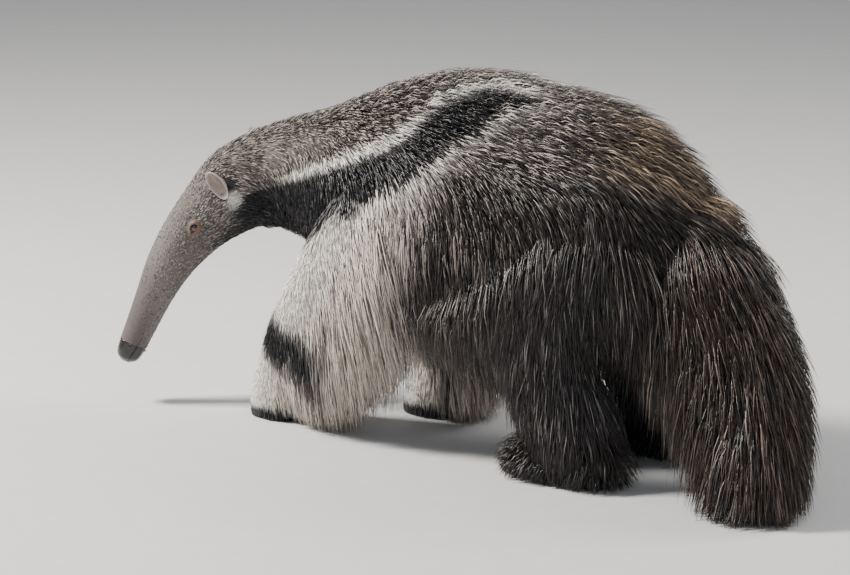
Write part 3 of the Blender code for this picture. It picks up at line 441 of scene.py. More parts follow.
def trunk_colours(x, angle, low_edge):
    """Dark hair, pale hair and the pale share of back, rump, flank and shoulder; the rump's straw-pale top is
    partly painted highlight and the darker flanks partly painted shade.
    """
    # Straw-pale hairs on the top of the rump: straw hair partly, and partly a painted highlight where light
    # falls on the top.
    share = BACK_SHARE + RUMP_MORE * ease(x, *RUMP_MORE_X) * ease(angle, *RUMP_MORE_ROUND)
    pale = mix(BACK_PALE, RUMP_PALE_AND_HIGHLIGHT, ease(x, *RUMP_X) * ease(angle, *RUMP_HIGHLIGHT_ROUND))
    # The flank darkens down the side: dark hair partly, and partly painted shade below the lit back.
    lower = ease(angle, *FLANK_ROUND) * ease(x, *FLANK_X)
    dark, pale = mix(BACK_DARK, FLANK_DARK, lower), mix(pale, FLANK_PALE, lower)
    share = toward(share, FLANK_SHARE, lower)
    slanting_x = x + (angle - SHOULDER_LEVEL) * SHOULDER_SLANT
    shoulder = ease(angle - low_edge, *SHOULDER_BELOW_BAND) * ease(slanting_x, *SHOULDER_X)
    return dark, mix(pale, SHOULDER_PALE, shoulder), toward(share, SHOULDER_SHARE, shoulder)


def foreleg_marks(points, weights, nearest):
    """How far points are foreleg, how far its white front, and how black its wrist and toe edge."""
    z = points[:, 2]
    pair = [LIMB_NAMES.index("foreleg_left"), LIMB_NAMES.index("foreleg_right")]
    on_legs = weights[:, pair[0]] + weights[:, pair[1]]
    behind = np.zeros(len(points))
    for limb in pair:
        middle_x = FINE_LIMBS[LIMB_NAMES[limb]][nearest[:, limb], 0]
        behind += (points[:, 0] - middle_x) * weights[:, limb]
    behind = behind / np.maximum(on_legs, 1e-3)
    leg = ease(on_legs, *FORELEG_BLEND)
    off_wrist = (z - (WRIST_HEIGHT - WRIST_SLANT * behind)) / WRIST_HALF
    wrist = np.exp(-(off_wrist**6)) * leg * ease(behind, *WRIST_REAR)
    toes = ease(z, *TOES_Z) * ease(on_legs, *TOES_BLEND) * ease(behind, *TOES_REAR)
    return leg, 1 - ease(behind, *LEG_FRONT), np.maximum(wrist, toes)


def band_marks(x, angle, low_edge, bearing):
    """How black the band is, and how white its line above and the zone below, where bearing is 1."""
    top_edge = np.interp(x, BAND_X, BAND_TOP)
    until = ease(x, *BAND_END_X)
    band = ease(angle, top_edge - 1, top_edge + 2) * ease(angle, low_edge + 3, low_edge - 3)
    half = LINE_HALF - LINE_THINNER * ease(x, *LINE_THINS_X)
    line = np.exp(-(((angle - top_edge + half) / half) ** 4)) * bearing * until * ease(x, *LINE_START_X)
    fades = PALE_FADE - PALE_THINNER * ease(x, *PALE_THINS_X)
    zone = ease(angle, low_edge - 2, low_edge + 3) * np.exp(-np.maximum(angle - low_edge, 0) / fades)
    return band * bearing * until, line, zone * ease(x, *PALE_END_X) * bearing


def throat_marks(x, z, angle, head_s, head, middle):
    """How black the throat is, and the underside of the head's rear, there partly black hair and partly
    painted shade under the head, by the rows of the head nearest to points.
    """
    down = (middle[:, 2] - z) / middle[:, 4]
    # The underside of the head's rear: black hair partly, and partly painted shade under the head.
    chin = ease(down, *CHIN_DARK_AND_SHADE_DOWN) * ease(head_s, *CHIN_DARK_AND_SHADE_S)
    throat = np.maximum(ease(angle, *THROAT_ROUND) * ease(head_s, *THROAT_S), chin * head)
    return throat * ease(x, *THROAT_X)


def patch(points, place, size):
    """A soft-edged round patch, 1 at its place and 0 beyond its size."""
    return np.exp(-((np.linalg.norm(points - PLACE - place, axis=1) / size) ** 4))


def markings(points, weights, nearest):
    """The dark and the pale hair colour at each point, and the share of pale hairs there."""
    limb = {name: weights[:, i] for i, name in enumerate(LIMB_NAMES)}
    x, z = points[:, 0] - PLACE[0], points[:, 2]
    angle = trunk_angle(points)
    head_s = (points - NECK_FRONT) @ FORWARD
    low_edge = np.interp(x, BAND_LOW_X, BAND_LOW)
    dark, pale, share = trunk_colours(x, angle, low_edge)

    hind = limb["hindleg_left"] + limb["hindleg_right"] + limb["hindfoot_left"] + limb["hindfoot_right"]
    hind = ease(hind, *HIND_BLEND)
    # Grey pale hairs on the hind legs: partly grizzled hair, partly a painted sheen.
    dark, pale = mix(dark, BROWN_BLACK, hind), mix(pale, HIND_PALE_AND_SHEEN, hind)
    share = toward(share, HIND_SHARE + HIND_FOOT_MORE * ease(z, *HIND_FOOT_Z), hind)

    tail = ease(limb["tail"], *TAIL_BLEND)
    # The top of the tail's base takes the rump's straw pale, partly a painted highlight where light falls on
    # it.
    top = ease(angle, *TAIL_TOP_HIGHLIGHT_ROUND) * (1 - ease(x, *TAIL_FAR_X))
    dark, pale = mix(dark, TAIL_DARK, tail), mix(pale, mix(TAIL_PALE, RUMP_PALE_AND_HIGHLIGHT, top), tail)
    share = toward(share, TAIL_SHARE + TAIL_TOP_HIGHLIGHT_MORE * top, tail)

    fore, front, black = foreleg_marks(points, weights, nearest)
    dark = mix(dark, mix(GRIZZLED_DARK, WHITE_LEG_DARK, front), fore)
    pale = mix(pale, mix(GRIZZLED, CREAM, front), fore)
    share = toward(share, FORELEG_REAR_SHARE + FORELEG_MORE * front, fore)

    head = ease(limb["head"], *HEAD_BLEND)
    bearing = np.where(x < BAND_CROSSES_LEG_X, 1 - fore, 1.0) * (1 - tail) * (1 - hind)
    bearing = bearing * ease(head_s, *BAND_HEAD_S)
    band, line, zone = band_marks(x, angle, low_edge, bearing)
    middle = FINE_LIMBS["head"][nearest[:, LIMB_NAMES.index("head")]]
    throat = throat_marks(x, z, angle, head_s, head, middle) * (1 - fore)
    black = np.maximum(black, np.maximum(band, throat))
    white = np.clip(np.maximum(line, zone * (1 - head)), 0, 1) * (1 - black)
    ear_tuft = patch(points, EAR_TUFT_PLACE, EAR_TUFT_SIZE)
    # A black patch behind the ear: painted shadow of the ear on the neck.
    ear_shadow = patch(points, EAR_SHADOW_PLACE, EAR_SHADOW_SIZE) * (1 - ear_tuft)
    black, white = np.maximum(black, ear_shadow) * (1 - ear_tuft), np.maximum(white, ear_tuft)

    bare = ease(head_s, *BARE_SNOUT_S)
    past_tip = (head_s - NOSE_TIP[0]) * NOSE_WAY[0] + (z - NOSE_TIP[1]) * NOSE_WAY[1]
    tip = ease(past_tip, *NOSE_EDGE)
    head_dark = mix(mix(HEAD_DARK, SNOUT_DARK, bare), SOOT, tip)
    head_pale = mix(mix(HEAD_PALE, SNOUT_PALE, bare), NOSE_PALE, tip)
    dark, pale = mix(dark, head_dark, head), mix(pale, head_pale, head)
    share = toward(share, HEAD_SHARE, head)

    dark = mix(mix(dark, WHITE_ROOTS, white), SOOT, black)
    pale = mix(mix(pale, CREAM, white), BLACK_GLINT, black)
    share = toward(toward(share, WHITE_SHARE, white), BLACK_SHARE, black)
    return dark, pale, np.clip(share, 0, 1)


def paint(mesh, colours):
    """Writes a colour for each point of a mesh into its attribute tint."""
    tint = mesh.color_attributes.new("tint", "FLOAT_COLOR", "POINT")
    tint.data.foreach_set("color", np.hstack([colours, np.ones((len(colours), 1))]).ravel())


def surface(name, roughness, grain, bump, speckle=0.25):
    """A matt organic material: the tint, broken up by speckle of a grain size, over a fine bump."""
    made = bpy.data.materials.new(name)
    made.use_nodes = True
    nodes, links = made.node_tree.nodes, made.node_tree.links
    shader = nodes["Principled BSDF"]
    shader.inputs["Roughness"].default_value = roughness
    tint = nodes.new("ShaderNodeAttribute")
    tint.attribute_name = "tint"
    place = nodes.new("ShaderNodeTexCoord")
    noise = nodes.new("ShaderNodeTexNoise")
    noise.inputs["Scale"].default_value = 1 / grain
    noise.inputs["Detail"].default_value = 4
    links.new(place.outputs["Object"], noise.inputs["Vector"])
    level = nodes.new("ShaderNodeMapRange")
    level.inputs["From Min"].default_value = 0.3
    level.inputs["From Max"].default_value = 0.7
    level.inputs["To Min"].default_value = 1 - speckle
    level.inputs["To Max"].default_value = 1 + speckle
    links.new(noise.outputs["Fac"], level.inputs["Value"])
    scaled = nodes.new("ShaderNodeVectorMath")
    scaled.operation = "SCALE"
    links.new(tint.outputs["Color"], scaled.inputs[0])
    links.new(level.outputs["Result"], scaled.inputs["Scale"])
    links.new(scaled.outputs["Vector"], shader.inputs["Base Color"])
    relief = nodes.new("ShaderNodeBump")
    relief.inputs["Strength"].default_value = bump
    relief.inputs["Distance"].default_value = grain
    links.new(noise.outputs["Fac"], relief.inputs["Height"])
    links.new(relief.outputs["Normal"], shader.inputs["Normal"])
    return made


skin_weights, skin_nearest = limbs_at(skin_points)
skin_dark, skin_pale, skin_share = markings(skin_points, skin_weights, skin_nearest)
BARE_SKIN_S, SKIN_PALE, SKIN_PALE_MORE = (0.20, 0.28), 0.35, 0.30
bare_skin = ease((skin_points - NECK_FRONT) @ FORWARD, *BARE_SKIN_S)
paint(skin.data, mix(skin_dark, skin_pale, skin_share * (SKIN_PALE + SKIN_PALE_MORE * bare_skin)))
skin.data.materials.append(surface("hide", roughness=0.75, grain=0.0016, bump=0.5, speckle=0.35))
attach(skin, "root")
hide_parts("head", "neck", "torso", "tail_base", "tail_end")
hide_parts("foreleg_left", "foreleg_right", "hindleg_left", "hindleg_right")


# Nose.
# The snout ends in a small moist black pad, bare and finely pebbled, with a slit-like nostril on
# each side and the lips' line running into it from behind.
NOSTRIL_PLACE, NOSTRIL_SIZE, NOSTRIL_DEPTH = (0.3060, 0.112, 0.0185), (0.0030, 0.0018), 0.0045
NOSTRIL_REACH, NOSTRIL_BEND, NOSTRIL_RIM, NOSTRIL_RIM_HEIGHT = 0.012, 0.10, 0.0012, 0.0007
NOSTRIL_RIM_STRETCH, NOSTRIL_RIM_OUT = (1.9, 1.5), 1.3
NOSE_ROWS, NOSE_STEPS, NOSE_OVERLAP, NOSE_PROUD = 4, 40, 0.003, 1.004
NOSE_BLACK, NOSE_COAT, NOSE_COAT_ROUGHNESS = (0.004, 0.0038, 0.0042), 0.3, 0.12
nose_rows = smooth_rows(HEAD[-NOSE_ROWS:], NOSE_STEPS)
nose_s = (nose_rows[:, :3] - NECK_FRONT) @ FORWARD
nose_rows = nose_rows[nose_s > NOSE_START - NOSE_OVERLAP]
nose_rows[:, 3:] *= NOSE_PROUD
nose_rings = press_mouth(tube(nose_rows, LEFT, HEAD_SIDES))
nose_along = unit(np.array(NOSE_WAY))
for side in (-1, 1):
    centre = head_point(NOSTRIL_PLACE[0], NOSTRIL_PLACE[1], -side * NOSTRIL_PLACE[2])
    offset = nose_rings - centre
    length = offset @ (FORWARD * nose_along[0] + UP * nose_along[1])
    across = offset @ (FORWARD * -nose_along[1] + UP * nose_along[0])
    far_out = (offset @ (LEFT * -side) / NOSTRIL_REACH) ** 4
    bent = across + NOSTRIL_BEND * length**2 / NOSTRIL_SIZE[0]
    near = np.exp(-((length / NOSTRIL_SIZE[0]) ** 2) - (bent / NOSTRIL_SIZE[1]) ** 2 - far_out)
    away = np.hypot(length / NOSTRIL_RIM_STRETCH[0], bent / NOSTRIL_RIM_STRETCH[1])
    rim = np.exp(-(((away - NOSTRIL_SIZE[1] * NOSTRIL_RIM_OUT) / NOSTRIL_RIM) ** 2) - far_out)
    nose_rings += (LEFT * side) * (near * NOSTRIL_DEPTH - rim * NOSTRIL_RIM_HEIGHT)[..., None]
nose = mesh_object("nose_pad", nose_rings, tube_faces(len(nose_rings), HEAD_SIDES))
paint(nose.data, np.tile(NOSE_BLACK, (len(nose.data.vertices), 1)))
wet = surface("wet_nose", roughness=0.22, grain=0.0009, bump=0.30, speckle=0.3)
wet.node_tree.nodes["Principled BSDF"].inputs["Coat Weight"].default_value = NOSE_COAT
wet.node_tree.nodes["Principled BSDF"].inputs["Coat Roughness"].default_value = NOSE_COAT_ROUGHNESS
nose.data.materials.append(wet)
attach(nose, "root")
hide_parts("nose")


# Eyes.
# Small dark globes set in the sides of the head, a black pupil in a deep brown iris under a wet
# cornea, with hardly any white showing.
EYE_RADIUS, EYE_RINGS, EYE_SIDES = 0.0078, 40, 56
CORNEA_SWELL, CORNEA_ANGLE, EYE_AHEAD, EYE_UPWARD = 0.05, 0.6, 0.22, 0.05
IRIS_ANGLE, WHITE_ANGLE = (0.38, 0.44), (1.05, 1.2)
PUPIL, IRIS_BROWN, EYE_WHITE = (0.002, 0.002, 0.002), (0.030, 0.014, 0.007), (0.12, 0.07, 0.05)
CORNEA_ROUGHNESS = 0.03
skin_tree = BVHTree.FromPolygons([Vector(p) for p in skin_points], skin_faces)


def globe(centre, axis, radius, rings, sides):
    """Points of a ball whose pole lies along axis, swollen at the cornea, and their angles from it."""
    across = unit(np.cross(axis, UP))
    above = np.cross(across, axis)
    polar = np.pi * (np.arange(rings) + 0.5) / rings
    turn = 2 * np.pi * np.arange(sides) / sides
    swell = 1 + CORNEA_SWELL * np.exp(-((polar / CORNEA_ANGLE) ** 2))
    ring = np.cos(turn)[None, :, None] * across + np.sin(turn)[None, :, None] * above
    points = np.cos(polar)[:, None, None] * axis + np.sin(polar)[:, None, None] * ring
    return centre + points * (radius * swell)[:, None, None], np.repeat(polar, sides)


eye_frames = {}
for side, word in ((-1, "left"), (1, "right")):
    centre = head_point(EYE_PLACE[0], EYE_PLACE[1], -side * EYE_PLACE[2])
    axis = unit(LEFT * -side + FORWARD * EYE_AHEAD + UP * EYE_UPWARD)
    eye_frames[word] = (centre, axis)
    eye_points, polar = globe(centre, axis, EYE_RADIUS, EYE_RINGS, EYE_SIDES)
    eye = mesh_object(f"eyeball_{word}", eye_points, tube_faces(EYE_RINGS, EYE_SIDES))
    iris = mix(PUPIL, IRIS_BROWN, ease(polar, *IRIS_ANGLE))
    paint(eye.data, mix(iris, EYE_WHITE, ease(polar, *WHITE_ANGLE)))
    glass = surface(f"cornea_{word}", roughness=0.04, grain=0.0006, bump=0.0, speckle=0.35)
    glass.node_tree.nodes["Principled BSDF"].inputs["Coat Weight"].default_value = 1.0
    glass.node_tree.nodes["Principled BSDF"].inputs["Coat Roughness"].default_value = CORNEA_ROUGHNESS
    eye.data.materials.append(glass)
    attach(eye, "root")
    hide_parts(f"eye_{word}")


# Eyelids.
# Thick pinkish folds that close over the globe in an almond, longest towards the snout, with a
# rusty lower rim and a dark tear line. They are skin, and run out level into the face.
LID_PROFILE = (
    (2.30, -0.0012),
    (2.00, -0.0003),
    (1.70, 0.0005),
    (1.42, 0.0013),
    (1.20, 0.0021),
    (1.04, 0.0024),
    (0.93, 0.0020),
)
LID_LONG, LID_TALL, LID_SIDES, LID_WAY = 0.0088, 0.0066, 64, (0.45, -0.89)
LID_CORNER, LID_CORNER_WIDTH, TEAR_WIDTH, TEAR_SHARE = 0.30, 0.35, 0.22, 0.85
UPPER_LID, UPPER_TALLER, UPPER_PROUDER = (-0.2, 0.6), 0.10, 0.35
LID_EDGE, TEAR_EDGE, LID_DRAW_FROM = (1.9, 1.1), (2.2, 1.3), 0.03
# The lid's inner lip: how far it draws in over the globe, and how deep it tucks under.
LID_LIP, LIP_OVER_GLOBE = ((0.90, 0.0), (0.84, 0.0008)), 1.03
LID_PINK, LID_RUST, LID_FACE = (0.16, 0.105, 0.090), (0.17, 0.075, 0.038), (0.085, 0.066, 0.058)
TEAR_DARK, LIP_DARK = (0.04, 0.025, 0.02), (0.05, 0.03, 0.025)


def eyelid(centre, axis):
    """Rings of points of both lids round one eye, from the face in to under the lip, and colours."""
    snoutward = unit(FORWARD * LID_WAY[0] + UP * LID_WAY[1])
    snoutward = unit(snoutward - axis * (snoutward @ axis))
    browward = np.cross(snoutward, axis)
    browward = browward * np.sign(browward @ UP + browward @ FORWARD)
    turn = 2 * np.pi * np.arange(LID_SIDES) / LID_SIDES
    from_corner = np.angle(np.exp(1j * turn))
    corner = 1 + LID_CORNER * np.exp(-((from_corner / LID_CORNER_WIDTH) ** 2))
    upper = ease(np.sin(turn), *UPPER_LID)
    rings, colours = [], []
    for share, height in LID_PROFILE:
        long = LID_LONG * share * corner
        tall = LID_TALL * share * (1.0 + UPPER_TALLER * upper)
        flat = centre + snoutward * (np.cos(turn) * long)[:, None] + browward * (np.sin(turn) * tall)[:, None]
        ring = []
        for at, rise in zip(flat, height * (1 + UPPER_PROUDER * upper)):
            start = Vector(at + axis * LID_DRAW_FROM)
            hit, normal, _, _ = skin_tree.ray_cast(start, Vector(-axis), 2 * LID_DRAW_FROM)
            ring.append(np.array(hit) + axis * rise if hit else at)
        rings.append(np.array(ring))
        edge = ease(np.full(LID_SIDES, share), *LID_EDGE)
        tear = np.exp(-((from_corner / TEAR_WIDTH) ** 2)) * ease(np.full(LID_SIDES, share), *TEAR_EDGE)
        lid_colour = mix(LID_FACE, mix(LID_RUST, LID_PINK, upper), edge)
        colours.append(mix(lid_colour, TEAR_DARK, tear * TEAR_SHARE))
    last = rings[-1] - centre
    for shrink, depth in LID_LIP:
        radial = (last - axis * (last @ axis)[:, None]) * shrink
        reach = (EYE_RADIUS * LIP_OVER_GLOBE) ** 2 - (radial**2).sum(axis=1)
        rings.append(centre + radial + axis * (np.sqrt(np.maximum(reach, 0.0)) - depth)[:, None])
        colours.append(np.tile(LIP_DARK, (LID_SIDES, 1)))
    return np.array(rings), np.vstack(colours)


for word, (centre, axis) in eye_frames.items():
    rings, colours = eyelid(centre, axis)
    lid = mesh_object(f"eyelids_{word}", rings, tube_faces(len(rings), LID_SIDES)[:-2])
    paint(lid.data, colours)
    lid_skin = surface(f"lid_skin_{word}", roughness=0.5, grain=0.0012, bump=0.4, speckle=0.25)
    lid.data.materials.append(lid_skin)
    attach(lid, "root")


# Ears.
# Short rounded cups of thin cartilage on the sides of the head at its back, bare and pinkish grey
# inside and dark outside, with a pale rim; the dark outside and the darker deep of the hollow are painted
# shade.
EAR_RINGS, EAR_SIDES, EAR_INNERMOST = 14, 48, 0.06
EAR_BROADER_ABOVE, EAR_SQUARER = 0.10, 0.06
EAR_FOLD_HEIGHT, EAR_FOLDS, EAR_FOLD_TWIST = 0.0010, 3, 9
LIP_HEIGHT, LIP_SHARE, LIP_WIDTH, LIP_TURNS_IN, WALL_THINS = 0.0018, 0.96, 0.07, 1.6, 0.5
EAR_INSIDE, EAR_BACK_SHADE, EAR_RIM = (0.34, 0.27, 0.24), (0.05, 0.042, 0.04), (0.80, 0.74, 0.68)
RIM_WIDTH, RIM_WIDER, RIM_WIDENS = 0.08, 0.16, (0.1, 0.7)
RIM_PALE, RIM_PALER, RIM_PALES = 0.45, 0.55, (-0.3, 0.5)
EAR_HOLLOW_SHADE, EAR_SUBSURFACE, EAR_GLOW = 0.60, 0.15, (0.004, 0.0015, 0.001)


def ear_cup(side):
    """Rings of points of an ear, out along its hollow and back down behind it, and their colours."""
    middle, outward, upright, facing, broad = ear_frame(side)
    turn = 2 * np.pi * np.arange(EAR_SIDES) / EAR_SIDES
    rearward = (broad * np.cos(turn)[:, None] + upright * np.sin(turn)[:, None]) @ -FORWARD
    rim_width = RIM_WIDTH + RIM_WIDER * ease(rearward, *RIM_WIDENS)
    rim_pale = RIM_PALE + RIM_PALER * ease(rearward, *RIM_PALES)
    rings, colours = [], []
    for back in (False, True):
        first, last = (1.0, EAR_INNERMOST) if back else (EAR_INNERMOST, 1.0)
        for share in np.linspace(first, last, EAR_RINGS):
            swell = 1.0 + EAR_BROADER_ABOVE * np.sin(turn) - EAR_SQUARER * np.cos(2 * turn) * share
            folds = EAR_FOLD_HEIGHT * np.sin(EAR_FOLDS * turn + EAR_FOLD_TWIST * share)
            hollow = EAR_DEPTH * (1 - share**2) + folds * (1 - share) * share * 4
            lip = LIP_HEIGHT * np.exp(-(((share - LIP_SHARE) / LIP_WIDTH) ** 2))
            wall = EAR_WALL * (1 - WALL_THINS * share) if back else 0.0
            deep = hollow + wall - lip * (1.0 if back else LIP_TURNS_IN)
            stalk = EAR_STALK * (1 - share**2) if back else 0.0
            wide = np.cos(turn) * EAR_HALF_WIDTH * share * swell
            tall = np.sin(turn) * EAR_HALF_HEIGHT * share * swell
            ring = middle + broad * wide[:, None] + upright * tall[:, None] - outward * stalk
            rings.append(ring - facing * deep[:, None])
            # Painted shade: the back is dark, and the inside darkens towards the deep of the hollow.
            leather = np.array(EAR_BACK_SHADE) if back else np.array(EAR_INSIDE) * toward(EAR_HOLLOW_SHADE, 1.0, share)
            colours.append(mix(leather, EAR_RIM, np.exp(-(((share - 1.0) / rim_width) ** 4)) * rim_pale))
    return np.array(rings), np.vstack(colours)


for side, word in ((-1, "left"), (1, "right")):
    rings, colours = ear_cup(side)
    ear = mesh_object(f"ear_cup_{word}", rings, tube_faces(len(rings), EAR_SIDES))
    paint(ear.data, colours)
    leather = surface(f"ear_leather_{word}", roughness=0.6, grain=0.0018, bump=0.3, speckle=0.2)
    leather.node_tree.nodes["Principled BSDF"].inputs["Subsurface Weight"].default_value = EAR_SUBSURFACE
    leather.node_tree.nodes["Principled BSDF"].inputs["Subsurface Radius"].default_value = EAR_GLOW
    ear.data.materials.append(leather)
    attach(ear, "root")
    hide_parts(f"ear_{word}")


# Claws.
# Horn sheaths: three long ones folded back under each wrist, on which the animal walks with its
# knuckles, and five short blunt ones on each hind foot. Pale at the tip and ridged along.
FORE_CLAWS = ((0.022, 0.058, 0.0075), (0.004, 0.066, 0.0085), (-0.014, 0.048, 0.0065))
HIND_CLAWS, HIND_CLAW_LENGTH, HIND_CLAW_RADIUS = (-0.026, -0.013, 0.0, 0.013, 0.026), 0.026, 0.0042
CLAW_RINGS, CLAW_SIDES, CLAW_RIDGES, RIDGE_HEIGHT, CLAW_FLATNESS = 18, 20, 7, 0.035, 0.8
CLAW_TAPER, CLAW_POINT, CLAW_ROOT_DARK, CLAW_TIP_PALE = 1.7, 0.0003, (0.10, 0.07, 0.05), (0.46, 0.38, 0.28)
FORE_CLAW_ROW, FORE_CLAW_BEHIND, FORE_CLAW_HEIGHT, FORE_CLAW_WAY = 7, 0.020, 0.016, (1.0, 0.0, -0.10)
HIND_CLAW_X, HIND_CLAW_Y, HIND_CLAW_HEIGHT = 0.250, 0.118, 0.0125
HIND_CLAW_ARC, HIND_CLAW_FAN, HIND_CLAW_RISE = 0.25, 6, 0.10


def claw(name, root, way, bend, length, radius):
    """A ridged curved claw from its root along way, turning towards bend."""
    way, bend = unit(np.array(way, float)), unit(np.array(bend, float))
    bend = unit(bend - way * (bend @ way))
    across = np.cross(way, bend)
    turn = 2 * np.pi * np.arange(CLAW_SIDES) / CLAW_SIDES
    ridges = 1 + RIDGE_HEIGHT * np.cos(turn * CLAW_RIDGES)
    rings = []
    shares = np.linspace(0.0, 1.0, CLAW_RINGS)
    for share in shares:
        heading = way * math.cos(share) + bend * math.sin(share)
        out = np.cross(heading, across)
        at = np.array(root) + way * (length * math.sin(share)) + bend * (length * (1 - math.cos(share)))
        thick = radius * (1 - share**CLAW_TAPER) + CLAW_POINT
        ring = across * (np.cos(turn) * thick * CLAW_FLATNESS * ridges)[:, None]
        rings.append(at + (ring + out * (np.sin(turn) * thick * ridges)[:, None]))
    made = mesh_object(name, np.array(rings), tube_faces(CLAW_RINGS, CLAW_SIDES))
    paint(made.data, mix(CLAW_ROOT_DARK, CLAW_TIP_PALE, np.repeat(shares, CLAW_SIDES)))
    return made


horn = surface("horn", roughness=0.38, grain=0.004, bump=0.25, speckle=0.25)
claws = {}
for side, word in ((-1, "left"), (1, "right")):
    paw_x, paw_y = LIMBS[f"foreleg_{word}"][FORE_CLAW_ROW][:2]
    for n, (aside, length, radius) in enumerate(FORE_CLAWS, 1):
        root = (paw_x + FORE_CLAW_BEHIND, paw_y + aside, FORE_CLAW_HEIGHT + radius)
        made = claw(f"knuckle_claw_{word}_{n}", root, FORE_CLAW_WAY, (0, 0, 1), length, radius)
        claws[f"claw_fore_{word}_{n}"] = made
    toe_x = PLACE[0] + HIND_CLAW_X + (0.0 if side < 0 else RIGHT_HIND_BACK)
    toe_y = PLACE[1] + side * HIND_CLAW_Y
    for n, aside in enumerate(HIND_CLAWS, 1):
        root = (toe_x + HIND_CLAW_ARC * abs(aside), toe_y + aside, HIND_CLAW_HEIGHT)
        way = (-1.0, aside * HIND_CLAW_FAN, HIND_CLAW_RISE)
        made = claw(f"toe_claw_{word}_{n}", root, way, (0, 0, -1), HIND_CLAW_LENGTH, HIND_CLAW_RADIUS)
        claws[f"claw_hind_{word}_{n}"] = made
for node, made in claws.items():
    low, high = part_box(node)
    points = points_of(made.data)
    shift = (np.array(low) + np.array(high)) / 2 - (points.min(axis=0) + points.max(axis=0)) / 2
    made.data.transform(Matrix.Translation(Vector(shift)))
    made.data.materials.append(horn)
    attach(made, "root")
    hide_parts(node)


# Coat.
# The hair is coarse and dry: bristle-short on the face, a short plush on neck and feet, and from
# the shoulders back ever longer, raised in a mane on the spine and hanging on flanks, legs and tail.
COAT_SEED, CAP_CORNERS, BURIED_BY = 20260, 9, 0.0004
SEAM_HEAD_SHARE, SEAM_LOWEST, EAR_BARE_REACH, EAR_BARE_AHEAD = 0.02, 0.28, 1.02, (-0.0185, 0.04)
DRAW = np.random.default_rng(COAT_SEED)
TRIANGLES = np.array([
    [face[0], face[i], face[i + 1]]
    for face in skin_faces
    if len(face) < CAP_CORNERS
    for i in range(1, len(face) - 1)
])
corners = skin_points[TRIANGLES]
edges = corners[:, 1:] - corners[:, :1]
TRIANGLE_AREA = np.linalg.norm(np.cross(edges[:, 0], edges[:, 1]), axis=1) / 2
TRIANGLE_MIDDLE = corners.mean(axis=1)
middle_weights = limbs_at(TRIANGLE_MIDDLE)[0]
MIDDLE_LIMB = middle_weights.argmax(axis=1)
MIDDLE_ANGLE = trunk_angle(TRIANGLE_MIDDLE)
ON_HEAD_SHELL = TRIANGLES.min(axis=1) >= head_start
head_faces = tube_faces(len(head_rings), HEAD_SIDES)
head_tree = BVHTree.FromPolygons([Vector(p) for p in head_rings.reshape(-1, 3)], head_faces)
body_tree = BVHTree.FromPolygons([Vector(p) for p in body_points], body_faces)


def buried(points, tree):
    """Which points lie inside the closed surface of tree."""
    found = []
    for p in points:
        at, normal, _, _ = tree.find_nearest(Vector(p))
        found.append((Vector(p) - at).dot(normal) < -BURIED_BY if at else False)
    return np.array(found)


# No hair grows where the fine head and the blended body lie inside each other, or in the ears' cups.
SHOWN = np.ones(len(TRIANGLES), bool)
on_head = middle_weights[:, LIMB_NAMES.index("head")] > SEAM_HEAD_SHARE
near_seam = on_head & (TRIANGLE_MIDDLE[:, 2] > SEAM_LOWEST)
for mask, tree in ((near_seam & ~ON_HEAD_SHELL, head_tree), (near_seam & ON_HEAD_SHELL, body_tree)):
    check = np.where(mask)[0]
    SHOWN[check[buried(TRIANGLE_MIDDLE[check], tree)]] = False
for side in (-1, 1):
    reach, ahead = ear_reach(TRIANGLE_MIDDLE, side)
    SHOWN[(reach < EAR_BARE_REACH) & (ahead > EAR_BARE_AHEAD[0]) & (ahead < EAR_BARE_AHEAD[1])] = False


def roots_on(mask, count):
    """Hair roots spread evenly over the masked triangles of the skin: places and normals."""
    chosen = np.where(mask & SHOWN)[0]
    filled = np.cumsum(TRIANGLE_AREA[chosen]) / TRIANGLE_AREA[chosen].sum()
    picked = chosen[np.searchsorted(filled, (np.arange(count) + DRAW.random(count)) / count)]
    a, b = np.sqrt(DRAW.random(count)), DRAW.random(count)
    share = np.stack([1 - a, a * (1 - b), a * b], axis=1)[:, :, None]
    corner = TRIANGLES[picked]
    place = (skin_points[corner] * share).sum(axis=1)
    return place, unit((skin_normals[corner] * share).sum(axis=1))


# The lie of the hair, limb by limb: each function below gives its way, its length in metres, its lift
# off the skin in radians and its droop. The pairs are where a change begins and where it is full.
FACE_HAIR, NAPE_LONGER, FACE_S, FACE_LIFT = 0.0050, 0.0090, (0.24, 0.07), 0.20


def head_lie(points, along):
    s = (points - NECK_FRONT) @ FORWARD
    return -along, FACE_HAIR + NAPE_LONGER * ease(s, *FACE_S), FACE_LIFT, 0.0


HANG_ROUND, CREST_ROUND, FRINGE_ROUND, BELLY_ROUND = (25, 110), (40, 12), (70, 105), (108, 150)
GROWN_X, FRINGE_X, FRINGE_END_X = (-0.30, 0.10), (-0.14, 0.02), (0.30, 0.20)
REAR_X, OVER_TAIL_X = (0.10, 0.45), (0.34, 0.47)
NECK_HAIR, BACK_LONGER, MANE_LONGER, FRINGE_LONGER, REAR_LONGER = 0.022, 0.042, 0.032, 0.075, 0.014
TRUNK_LIFT, GROWN_LIFT, CREST_LIFT, MANE_LIFT, FRINGE_LIFT, BELLY_LIFT = 0.24, 0.08, 0.18, 0.40, 0.25, 0.80
LOWER_OVER_TAIL, TRUNK_DROOP, FLANK_DROOP, CREST_DROOP = 0.70, 0.12, 0.25, 0.12
BACK_DOWN, FLANK_TURNS_DOWN = 0.12, 0.76


